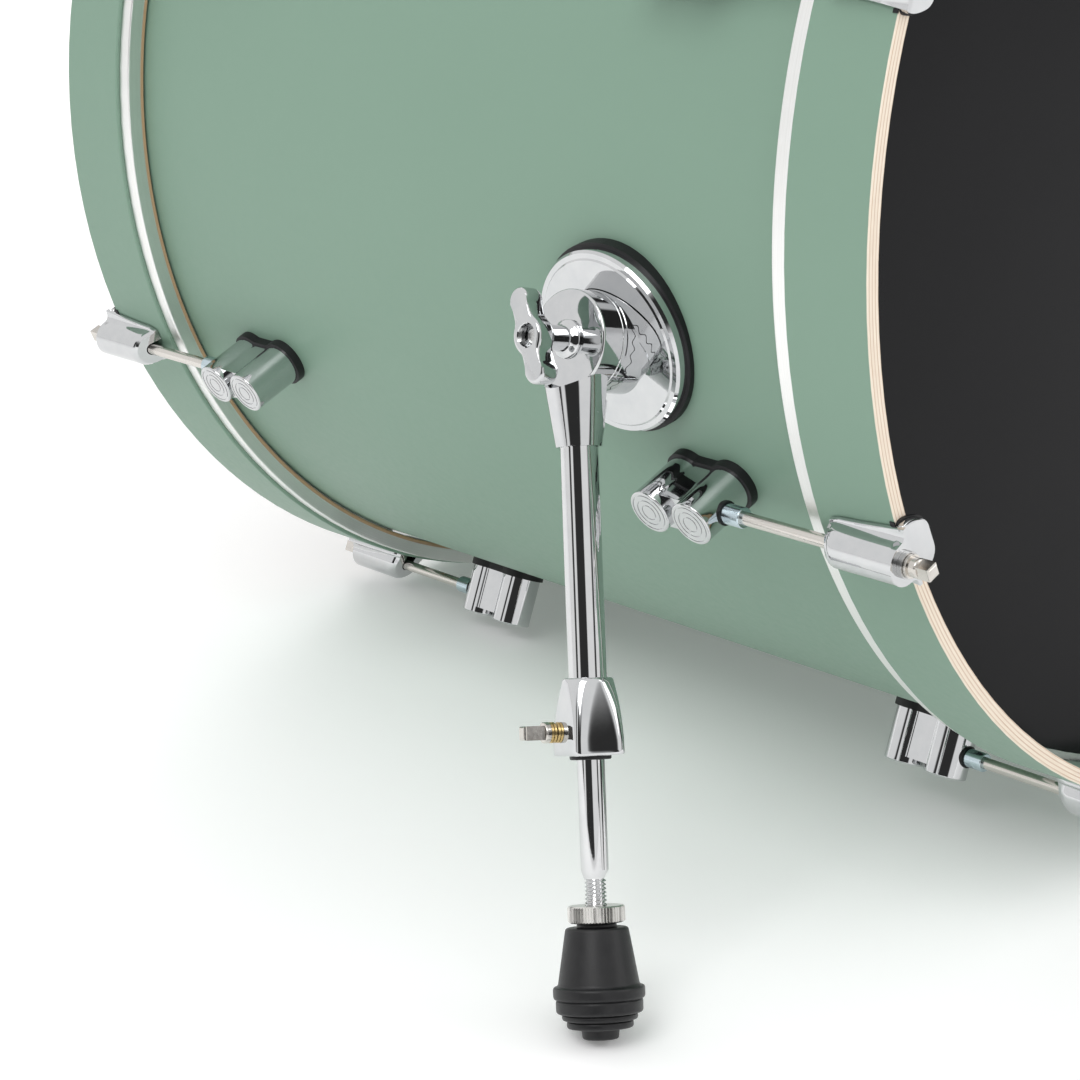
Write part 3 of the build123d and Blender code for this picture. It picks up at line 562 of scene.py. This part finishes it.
def thread_radius(angle, height):
    """Distance of a right-hand thread's surface from its axis."""
    phase = (height / THREAD_PITCH - angle / math.tau) % 1.0
    flank = abs(2 * phase - 1)
    depth = min(max(THREAD_FLANK * flank - THREAD_CREST, 0.0), 1.0)
    return STUD_RADIUS - THREAD_DEPTH * depth


def threaded_rod(leg):
    """The sliding rod of a leg: plain above, chamfered down to a threaded stud with a spike."""
    node = f"{leg.side}_inner_rod"
    top, tip = leg.span(node, leg.down)
    radius = leg.reach(node, leg.down)
    thread_start = tip - STUD_TOP
    thread_end = tip - STUD_END
    plain = (
        (radius - ROD_EDGE, top),
        (radius - 0.3 * ROD_EDGE, top + 0.3 * ROD_EDGE),
        (radius, top + ROD_EDGE),
        (radius, thread_start - ROD_CHAMFER),
    )
    rows = [round_row(reach, height, THREAD_STEPS) for reach, height in plain]
    count = round((thread_end - thread_start) / THREAD_PITCH * THREAD_ROWS_PER_TURN)
    for i in range(count + 1):
        height = thread_start + (thread_end - thread_start) * i / count
        row = []
        for j in range(THREAD_STEPS):
            angle = math.tau * j / THREAD_STEPS
            reach = thread_radius(angle, height)
            row.append((reach * math.cos(angle), reach * math.sin(angle), height))
        rows.append(row)
    mesh = bmesh.new()
    made = grid(mesh, rows)
    cap(mesh, made[0], (0, 0, top))
    cap(mesh, made[-1], (0, 0, tip))
    name, matrix = f"{leg.side}_threaded_rod", leg.along(leg.down)
    rod = piece_from(mesh, name, "tube_chrome", node, matrix, smooth_below=25)
    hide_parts(node)


# Black ring where the rod leaves the memory lock
RING_HEIGHT = 1.6 * MM
RING_RADIUS = 8.6 * MM
RING_BORE = 6.0 * MM
RING_EDGE = 0.4 * MM
RING_SUNK = 0.2 * MM


def lock_ring(leg):
    end = leg.span(f"{leg.side}_memory_lock", leg.down)[1]
    low, high = end - RING_SUNK, end + RING_HEIGHT
    outline = [
        (RING_BORE, low),
        (RING_RADIUS, low),
        (RING_RADIUS, high - RING_EDGE),
        (RING_RADIUS - RING_EDGE, high),
        (RING_BORE, high),
    ]
    matrix = leg.along(leg.down)
    ring_piece(f"{leg.side}_lock_ring", "gasket_rubber", f"{leg.side}_leg", matrix, outline)


def plate(mesh, outline, layers):
    """A flat plate: an (x, z) outline drawn in a little at some of its layers, given as (inset, y)."""
    rows = []
    for inset, y in layers:
        row = []
        for x, z in outline:
            row.append((x - math.copysign(min(inset, abs(x)), x), y, z + inset if z < 0 else z))
        rows.append(row)
    close_ends(mesh, grid(mesh, rows))


def rounded(outline, radius, steps=5):
    """The outline, given as (x, y) points, with every corner but the first and last rounded."""
    points = [outline[0]]
    for before, corner, after in zip(outline, outline[1:], outline[2:]):
        here = Vector(corner)
        back, ahead = Vector(before) - here, Vector(after) - here
        start = here + back.normalized() * min(radius, back.length / 2.05)
        end = here + ahead.normalized() * min(radius, ahead.length / 2.05)
        for i in range(steps + 1):
            t = i / steps
            points.append(tuple(start * (1 - t) ** 2 + here * 2 * t * (1 - t) + end * t * t))
    return points + [outline[-1]]


# Claws over the hoops, with the rubber liners under their hooks
CLAW_START = 229.5 * MM
CLAW_END = 269.9 * MM
CLAW_ARCH = 9.2 * MM
CLAW_WALL = 2.2 * MM
CLAW_END_WALL = 2.6 * MM
CLAW_WIDTH = 28.0 * MM
CLAW_SKIRT = 2.4 * MM
CLAW_FILLET = 3.0 * MM
CLAW_FILLET_ROOM = 0.3 * MM
CLAW_BASE = 0.5 * MM
CLAW_SLOPE = 6.0 * MM
CLAW_NOSE = 0.16
CLAW_NOSE_DRAFT = 0.16
CLAW_BORE_DRAFT = 0.2
CLAW_STEP = 0.8 * MM
CLAW_EDGE = 0.5 * MM
CLAW_ROWS = 26
ARCH_STEPS = 10
FILLET_STEPS = 5
HOOK_REACH = 13.5 * MM
HOOK_WALL = 2.7 * MM
HOOK_SHOULDER = 4.5 * MM
HOOK_CORNER = 4.5 * MM
HOOK_TIP_WIDTH = 17.0 * MM
HOOK_EDGE = 0.7 * MM
HOOK_GAP = 0.05 * MM
ROD_HOLE = 3.2 * MM
LINER = 1.4 * MM
LINER_PROUD = 0.6 * MM
LINER_RUN = 2.5 * MM
LINER_GAP = 0.03 * MM
LINER_TOP_GAP = 0.02 * MM
LINER_BOTTOM_GAP = 0.04 * MM
LINER_STEPS = 12
HOOP_RADIUS = (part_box("batter_hoop")[1].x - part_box("batter_hoop")[0].x) / 2
HOOP_POINTS = [v.co - DRUM_MIDDLE for v in frame["nodes"]["batter_hoop"].data.vertices]
HOOP_FACE = max(point.dot(DRUM_AXIS) for point in HOOP_POINTS)


class Station:
    """Where a tension rod stands: +X round the drum, +Y outwards along it, +Z away from its axis."""

    def __init__(self, rod):
        place = Vector(joints[f"{rod}_turn"]["pos_m"]) - DRUM_MIDDLE
        along = DRUM_AXIS if place.dot(DRUM_AXIS) > 0 else -DRUM_AXIS
        outward = place - along * place.dot(along)
        self.rod_height = outward.length - HOOP_RADIUS
        outward.normalize()
        turn = Matrix((along.cross(outward), along, outward)).transposed()
        self.matrix = Matrix.Translation(DRUM_MIDDLE) @ turn.to_4x4()
        self.matrix = self.matrix @ Matrix.Translation((0, 0, HOOP_RADIUS))


def on_hoop(x, height):
    """Height above the hoop's crown line of a point that is a height above its round surface."""
    return height - x * x / (2 * HOOP_RADIUS)


def claw_section(share, bore, rod_height):
    """A claw's closed section at a share of its length: an arch with a skirt, open below."""
    nose = math.sin(min(share / CLAW_NOSE, 1) * QUARTER)
    radius = CLAW_ARCH * (1 - CLAW_NOSE_DRAFT + CLAW_NOSE_DRAFT * nose)
    foot = radius + CLAW_STEP + (CLAW_WIDTH / 2 - CLAW_ARCH - CLAW_STEP) * share ** 1.5
    fillet = min(CLAW_FILLET, foot - radius - CLAW_FILLET_ROOM)
    half = []
    for angle in quarter_turn(ARCH_STEPS):
        half.append((radius * math.sin(angle), rod_height + radius * math.cos(angle)))
    for angle in quarter_turn(FILLET_STEPS):
        x = radius + fillet * (1 - math.cos(angle))
        half.append((x, CLAW_SKIRT + fillet * (1 - math.sin(angle))))
    half.append((foot - 0.3 * CLAW_EDGE, CLAW_SKIRT - 0.3 * CLAW_EDGE))
    half.append((foot, CLAW_SKIRT - CLAW_EDGE))
    half.append((foot, CLAW_BASE))
    half.append((bore, CLAW_BASE))
    for angle in reversed(quarter_turn(ARCH_STEPS)):
        half.append((bore * math.sin(angle), rod_height + bore * math.cos(angle)))
    loop = half + [(-x, z) for x, z in reversed(half[1:-1])]
    return [(x, on_hoop(x, z)) for x, z in loop]


def claw_arch(mesh, rod_height):
    """The claw's hollow arch along its rod, with a wall that the rod goes through at each end."""
    crown = rod_height + CLAW_ARCH
    length = CLAW_END - CLAW_START
    wall_share = CLAW_END_WALL / length
    inner = CLAW_ARCH - CLAW_WALL
    narrow = 1 - CLAW_BORE_DRAFT
    shares = [(0.0, ROD_HOLE), (wall_share, ROD_HOLE), (wall_share, narrow * inner)]
    for i in range(1, CLAW_ROWS):
        share = wall_share + (1 - 2 * wall_share) * i / CLAW_ROWS
        shares.append((share, inner * (narrow + CLAW_BORE_DRAFT * min(share / CLAW_NOSE, 1))))
    shares += [(1 - wall_share, inner), (1 - wall_share, ROD_HOLE), (1.0, ROD_HOLE)]
    rows = []
    for share, bore in shares:
        row = []
        for x, z in claw_section(share, bore, rod_height):
            lean = CLAW_SLOPE * max(z, 0) / crown * (1 - share) ** 5
            row.append((x, CLAW_START + length * share + lean, z))
        rows.append(row)
    close_ends(mesh, grid(mesh, rows))


def hook_outline(half_width, tip_half_width, top, reach):
    """A hook's plate seen along the drum: straight shoulders, then drawn in to a round tip."""
    half = [
        (0.0, top),
        (half_width, top),
        (half_width, -HOOK_SHOULDER),
        (tip_half_width, -reach),
        (0.0, -reach),
    ]
    half = rounded(half, HOOK_CORNER)
    loop = half + [(-x, z) for x, z in reversed(half[1:-1])]
    return [(x, on_hoop(x, z)) for x, z in loop]


def make_claw(head, number):
    """A claw: the arch along its rod and the hook over the hoop's end face."""
    rod = Station(f"{head}_rod_{number}")
    mesh = bmesh.new()
    claw_arch(mesh, rod.rod_height)
    start = HOOP_FACE + LINER + HOOK_GAP
    end = start + HOOK_WALL
    layers = (
        (HOOK_EDGE / 2, start),
        (0, start + HOOK_EDGE / 2),
        (0, end - HOOK_EDGE),
        (HOOK_EDGE / 3, end - HOOK_EDGE / 3),
        (HOOK_EDGE, end),
    )
    plate(mesh, hook_outline(CLAW_WIDTH / 2, HOOK_TIP_WIDTH / 2, CLAW_SKIRT, HOOK_REACH), layers)
    name = f"{head}_claw_{number}"
    claw = piece_from(mesh, name, "cast_chrome", "drum", rod.matrix, smooth_below=35)
    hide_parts(f"{head}_claws")


def make_liner(head, number):
    """Rubber angle between a claw's hook and the hoop."""
    rod = Station(f"{head}_rod_{number}")
    mesh = bmesh.new()
    start = HOOP_FACE + LINER_GAP
    half_width = CLAW_WIDTH / 2 + LINER_PROUD
    tip_half_width = HOOK_TIP_WIDTH / 2 + LINER_PROUD
    outline = hook_outline(half_width, tip_half_width, CLAW_BASE, HOOK_REACH + LINER_PROUD)
    plate(mesh, outline, [(0, start), (0, start + LINER)])
    xs = [half_width * (2 * i / LINER_STEPS - 1) for i in range(LINER_STEPS + 1)]
    top, bottom = CLAW_BASE - LINER_TOP_GAP, LINER_BOTTOM_GAP
    rows = []
    for y in (start - LINER_RUN, start):
        upper = [(x, y, on_hoop(x, top)) for x in xs]
        lower = [(x, y, on_hoop(x, bottom)) for x in reversed(xs)]
        rows.append(upper + lower)
    close_ends(mesh, grid(mesh, rows))
    liner = piece_from(mesh, f"{head}_liner_{number}", "gasket_rubber", "drum", rod.matrix)
    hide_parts("claw_liners")


# Wing nut on the hinge bolt, measured outwards from the hinge's pivot
WING_TURN = math.radians(14)
WING_SEAT = 4.55 * MM
WING_BACK = 19.4 * MM
WING_FACE = 28.6 * MM
WING_REACH = 15.7 * MM
WING_TIP = 5.2 * MM
WING_WAIST = 4.7 * MM
WING_HUB = 7.9 * MM
WING_NECK = 5.4 * MM
WING_FLANGE = 8.2 * MM
WING_FLANGE_HEIGHT = 2.4 * MM
WING_BORE = 4.05 * MM
WING_EYE = 4.8 * MM
WING_EYE_FLOOR = 22.1 * MM
WING_EDGE = 1.7 * MM
WING_EDGE_STEPS = 5
WING_STEPS = 240
WING_BLEND = 1.3 * MM


def wing_reach(angle):
    """Distance of the nut's outline from its centre: a round hub, two arms and two round tips."""
    along, across = abs(math.cos(angle)), abs(math.sin(angle))
    room = WING_TIP ** 2 - (WING_REACH * across) ** 2
    tip = WING_REACH * along + math.sqrt(room) if room > 0 else 0.0
    arm = WING_WAIST / across if across > WING_WAIST / WING_REACH else 0.0
    parts = (WING_HUB, min(arm, WING_REACH), tip)
    return WING_BLEND * math.log(sum(math.exp(part / WING_BLEND) for part in parts))


# The nut's flange and neck, and the eye in its face, as (radius, height)
WING_FLANGE_TOP = WING_SEAT + WING_FLANGE_HEIGHT
WING_NECK_OUTLINE = (
    (WING_BORE, WING_SEAT),
    (WING_FLANGE - 0.3 * MM, WING_SEAT),
    (WING_FLANGE, WING_SEAT + 0.3 * MM),
    (WING_FLANGE, WING_FLANGE_TOP - 1.2 * MM),
    (WING_FLANGE - 0.6 * MM, WING_FLANGE_TOP - 0.4 * MM),
    (WING_NECK + 1.0 * MM, WING_FLANGE_TOP),
    (WING_NECK, WING_FLANGE_TOP + 1.0 * MM),
    (WING_NECK, WING_BACK - 2.2 * MM),
    (WING_NECK + 0.3 * MM, WING_BACK - 0.9 * MM),
    (WING_NECK + 0.8 * MM, WING_BACK - 0.3 * MM),
)
WING_EYE_OUTLINE = (
    (WING_EYE + 0.4 * MM, WING_FACE),
    (WING_EYE, WING_FACE - 0.4 * MM),
    (WING_EYE, WING_EYE_FLOOR),
    (WING_BORE, WING_EYE_FLOOR),
)


def wing_row(inset, height):
    """The wings' outline, drawn in by an inset, at a height."""
    row = []
    for i in range(WING_STEPS):
        angle = math.tau * i / WING_STEPS
        reach = wing_reach(angle) - inset
        row.append((reach * math.cos(angle), reach * math.sin(angle), height))
    return row


def wing_nut(leg):
    rows = [round_row(radius, height, WING_STEPS) for radius, height in WING_NECK_OUTLINE]
    for angle in quarter_turn(WING_EDGE_STEPS):
        rise = WING_EDGE * (1 - math.cos(angle))
        rows.append(wing_row(WING_EDGE * (1 - math.sin(angle)), WING_BACK + rise))
    for angle in quarter_turn(WING_EDGE_STEPS):
        drop = WING_EDGE * (1 - math.sin(angle))
        rows.append(wing_row(WING_EDGE * (1 - math.cos(angle)), WING_FACE - drop))
    rows += [round_row(radius, height, WING_STEPS) for radius, height in WING_EYE_OUTLINE]
    mesh = bmesh.new()
    grid(mesh, rows, closed_rows=True)
    matrix = leg.along(leg.outward) @ Matrix.Rotation(leg.hand * WING_TURN, 4, "Z")
    node = f"{leg.side}_wing_nut"
    nut = piece_from(mesh, f"{leg.side}_wing", "cast_chrome", node, matrix, smooth_below=35)
    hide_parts(node)


# Memory lock: a split collar, round where the tube enters it and square where the rod leaves
LOCK_TOP_RADIUS = 10.3 * MM
LOCK_HALF_WIDTH = 11.5 * MM
LOCK_BACK = 15.0 * MM
LOCK_TUBE_BORE = 8.0 * MM
LOCK_ROD_BORE = 5.88 * MM
LOCK_TUBE_DEPTH = 25.4 * MM
LOCK_SLIT = 0.7 * MM
LOCK_EDGE = 0.8 * MM
# Power of the outline's superellipse: round at the top, nearly square at the bottom
LOCK_ROUND = 2.0
LOCK_SQUARE = 7.0
LOCK_STEPS = 120
LOCK_ROWS = 22


def lock_angles(radius):
    """Angles right round the collar, from one wall of its slit to the other."""
    gap = math.asin(LOCK_SLIT / radius)
    return [QUARTER + gap + (math.tau - 2 * gap) * i / LOCK_STEPS for i in range(LOCK_STEPS + 1)]


def lock_outline(share, inset):
    """The collar's outline from one wall of its slit round to the other, as (screw side, back)."""
    grow = math.sin(QUARTER * share ** 0.8)
    side = LOCK_TOP_RADIUS + (LOCK_HALF_WIDTH - LOCK_TOP_RADIUS) * grow - inset
    back = LOCK_TOP_RADIUS + (LOCK_BACK - LOCK_TOP_RADIUS) * grow - inset
    power = LOCK_ROUND + (LOCK_SQUARE - LOCK_ROUND) * min(share / 0.8, 1) ** 1.2
    points = []
    for angle in lock_angles(back):
        across, along = math.cos(angle), math.sin(angle)
        depth = back if along > 0 else side
        reach = (abs(across / side) ** power + abs(along / depth) ** power) ** (-1 / power)
        points.append((reach * across, reach * along))
    return points


def lock_bore(radius):
    """The collar's bore, walked back from the slit's far wall to its near one."""
    angles = reversed(lock_angles(radius))
    return [(radius * math.cos(angle), radius * math.sin(angle)) for angle in angles]


def lock_matrix(leg):
    """Frame of the memory lock: +X along its key screw, +Y from the leg to the screw, +Z down."""
    screw = joints[f"{leg.side}_lock_screw_turn"]
    along = Vector(screw["axis"]).normalized()
    offset = Vector(screw["pos_m"]) - leg.pivot
    offset -= leg.down * offset.dot(leg.down)
    offset -= along * offset.dot(along)
    turn = Matrix((along, offset.normalized(), leg.down)).transposed()
    return Matrix.Translation(leg.pivot) @ turn.to_4x4()


def lock_levels(height):
    """The collar from top to bottom, as (level, share of its growth, inset, bore)."""
    eased = 0.3 * LOCK_EDGE
    levels = [(0.0, 0.0, LOCK_EDGE, LOCK_TUBE_BORE), (eased, 0.0, eased, LOCK_TUBE_BORE)]
    for i in range(LOCK_ROWS + 1):
        level = LOCK_EDGE + (height - 2 * LOCK_EDGE) * i / LOCK_ROWS
        bore = LOCK_TUBE_BORE if level < LOCK_TUBE_DEPTH else LOCK_ROD_BORE
        levels.append((level, level / height, 0.0, bore))
    levels.append((height - eased, 1.0, eased, LOCK_ROD_BORE))
    levels.append((height, 1.0, LOCK_EDGE, LOCK_ROD_BORE))
    return levels


def memory_lock(leg):
    node = f"{leg.side}_memory_lock"
    start, end = leg.span(node, leg.down)
    rows = []
    for level, share, inset, bore in lock_levels(end - start):
        points = lock_outline(share, inset) + lock_bore(bore)
        rows.append([(x, y, start + level) for x, y in points])
    mesh = bmesh.new()
    made = grid(mesh, rows)
    for row in (made[0], made[-1]):
        for i in range(LOCK_STEPS):
            mesh.faces.new((row[i], row[i + 1], row[-2 - i], row[-1 - i]))
    name, body = f"{leg.side}_lock_collar", f"{leg.side}_leg"
    lock = piece_from(mesh, name, "cast_chrome", body, lock_matrix(leg), smooth_below=32)
    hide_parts(node)


# Rubber foot's outline in mm, as (radius, height above its tip): stepped bands, cone, neck and bore
FOOT_OUTLINE = (
    (1.3, 0.0),
    (7.4, 0.0),
    (7.9, 4.6),
    (13.6, 4.6),
    (13.7, 7.3),
    (12.9, 7.7),
    (15.5, 8.0),
    (15.6, 10.1),
    (14.9, 10.5),
    (17.8, 10.8),
    (17.9, 15.8),
    (17.2, 16.3),
    (18.8, 16.7),
    (18.9, 21.4),
    (16.8, 21.8),
    (12.9, 45.3),
    (8.2, 45.3),
    (8.2, 47.2),
    (5.2, 47.2),
    (5.2, 13.0),
    (1.3, 0.0),
)
FOOT_ROUND = 1.3
FOOT_STEPS = 96


def rubber_foot(leg):
    node = f"{leg.side}_rubber_foot"
    tip = leg.span(node, leg.down)[1]
    outline = rounded(FOOT_OUTLINE, FOOT_ROUND)[:-1]
    placed = [(radius * MM, tip - height * MM) for radius, height in outline]
    matrix = leg.along(leg.down)
    foot = ring_piece(f"{leg.side}_foot", "foot_rubber", node, matrix, placed, FOOT_STEPS)
    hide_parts(node)


# ------------------------------------------------------------------ floor, light and camera

FLOOR_SIZE = 200.0
FLOOR_GLOW = 0.16
FLOOR_LIGHT = (0.92, 0.92, 0.92, 1)
FLOOR_DARK = (0.90, 0.90, 0.90, 1)
WHITE = (1.0, 1.0, 1.0, 1)
WORLD_STRENGTH = 0.95
# Dark flags round the studio, which chrome mirrors: azimuth, half width, height as a direction's z
DARK_FLAGS = (
    (-118, 26, 0.50),
    (-72, 5, 0.40),
    (82, 24, 0.55),
    (132, 9, 0.35),
    (168, 5, 0.30),
    (20, 9, 0.35),
)
FLAG_EDGE = 3.0
FLAG_TOP_FADE = 0.2
FLAG_DARKNESS = 0.96
# Soft lights: name, place, side of the square, watts; all of them aim at the drum
LIGHTS = (
    ("key", (-2.2, -0.6, 2.6), 1.6, 34),
    ("fill", (1.8, -2.6, 1.8), 1.8, 16),
    ("back", (1.6, 2.4, 2.2), 1.8, 20),
)
LIGHT_AIM = Vector((0, 0, 0.3))
CAMERA_PLACE = Vector((-1.0575, -0.9101, 0.5928))
CAMERA_AIM = Vector((-0.3267, -0.1221, 0.1835))
CAMERA_ROLL = math.radians(0.24)
CAMERA_LENS = 92.06
CAMERA_SENSOR = 36.0


def make_floor():
    mesh = bmesh.new()
    half = FLOOR_SIZE / 2
    corners = [(-half, -half, 0), (half, -half, 0), (half, half, 0), (-half, half, 0)]
    mesh.faces.new([mesh.verts.new(corner) for corner in corners])
    data = bpy.data.meshes.new("floor")
    mesh.to_mesh(data)
    mesh.free()
    tree = Tree("pale_floor")
    cloud = tree.noise(tree.place(), 3.0)
    colour = tree.blend(cloud, FLOOR_DARK, FLOOR_LIGHT)
    tree.shader.inputs["Emission Color"].default_value = WHITE
    tree.shader.inputs["Emission Strength"].default_value = FLOOR_GLOW
    data.materials.append(tree.finish(Base_Color=colour, Roughness=0.8))
    floor = bpy.data.objects.new("floor", data)
    bpy.context.scene.collection.objects.link(floor)


def make_world():
    """A white studio: bright above and round about, with soft dark gaps that chrome can mirror."""
    world = bpy.data.worlds.new("studio")
    world.use_nodes = True
    bpy.context.scene.world = world
    nodes = world.node_tree.nodes
    links = world.node_tree.links
    background = nodes["Background"]

    def maths(operation, *values):
        node = nodes.new("ShaderNodeMath")
        node.operation = operation
        for i, value in enumerate(values):
            if isinstance(value, bpy.types.NodeSocket):
                links.new(value, node.inputs[i])
            else:
                node.inputs[i].default_value = value
        return node.outputs[0]

    def smooth(value, low, high):
        node = nodes.new("ShaderNodeMapRange")
        node.interpolation_type = "SMOOTHSTEP"
        links.new(value, node.inputs["Value"])
        node.inputs[1].default_value = low
        node.inputs[2].default_value = high
        return node.outputs[0]

    direction = nodes.new("ShaderNodeTexCoord").outputs["Generated"]
    split = nodes.new("ShaderNodeSeparateXYZ")
    links.new(direction, split.inputs[0])
    x, y, z = split.outputs
    azimuth = maths("ARCTAN2", x, y)
    dark = 0.0
    for middle, half_width, top in DARK_FLAGS:
        turned = maths("COSINE", maths("SUBTRACT", azimuth, math.radians(middle)))
        outer = math.cos(math.radians(half_width + FLAG_EDGE))
        inner = math.cos(math.radians(half_width - FLAG_EDGE))
        below = maths("SUBTRACT", 1.0, smooth(z, top, top + FLAG_TOP_FADE))
        dark = maths("MAXIMUM", dark, maths("MULTIPLY", smooth(turned, outer, inner), below))
    mirrored = maths("MULTIPLY_ADD", dark, -FLAG_DARKNESS, 1.0)
    seen = nodes.new("ShaderNodeLightPath").outputs["Is Camera Ray"]
    strength = maths("MAXIMUM", maths("MULTIPLY", mirrored, WORLD_STRENGTH), seen)
    background.inputs["Color"].default_value = WHITE
    links.new(strength, background.inputs["Strength"])


def make_lights():
    for name, place, side, watts in LIGHTS:
        data = bpy.data.lights.new(name, "AREA")
        data.shape = "RECTANGLE"
        data.size = side
        data.size_y = side
        data.energy = watts
        light = bpy.data.objects.new(name, data)
        light.location = place
        light.rotation_euler = (LIGHT_AIM - Vector(place)).to_track_quat("-Z", "Y").to_euler()
        bpy.context.scene.collection.objects.link(light)


def make_camera():
    data = bpy.data.cameras.new("camera")
    data.lens = CAMERA_LENS
    data.sensor_width = CAMERA_SENSOR
    data.clip_start = 0.01
    camera = bpy.data.objects.new("camera", data)
    turn = (CAMERA_AIM - CAMERA_PLACE).to_track_quat("-Z", "Y").to_matrix()
    roll = Matrix.Rotation(-CAMERA_ROLL, 3, "Z")
    camera.matrix_world = Matrix.Translation(CAMERA_PLACE) @ (turn @ roll).to_4x4()
    bpy.context.scene.collection.objects.link(camera)
    bpy.context.scene.camera = camera


# ------------------------------------------------------------------ the scene

paint_nodes()
for side in ("left", "right"):
    leg_frame = LegFrame(side)
    ratchet_teeth(leg_frame)
    socket_apron(leg_frame)
    threaded_rod(leg_frame)
    lock_ring(leg_frame)
    wing_nut(leg_frame)
    memory_lock(leg_frame)
    rubber_foot(leg_frame)
for head in ("front", "batter"):
    for number in range(1, 9):
        make_claw(head, number)
        make_liner(head, number)
make_floor()
make_world()
make_lights()
make_camera()
bpy.context.scene.view_settings.view_transform = "Standard"
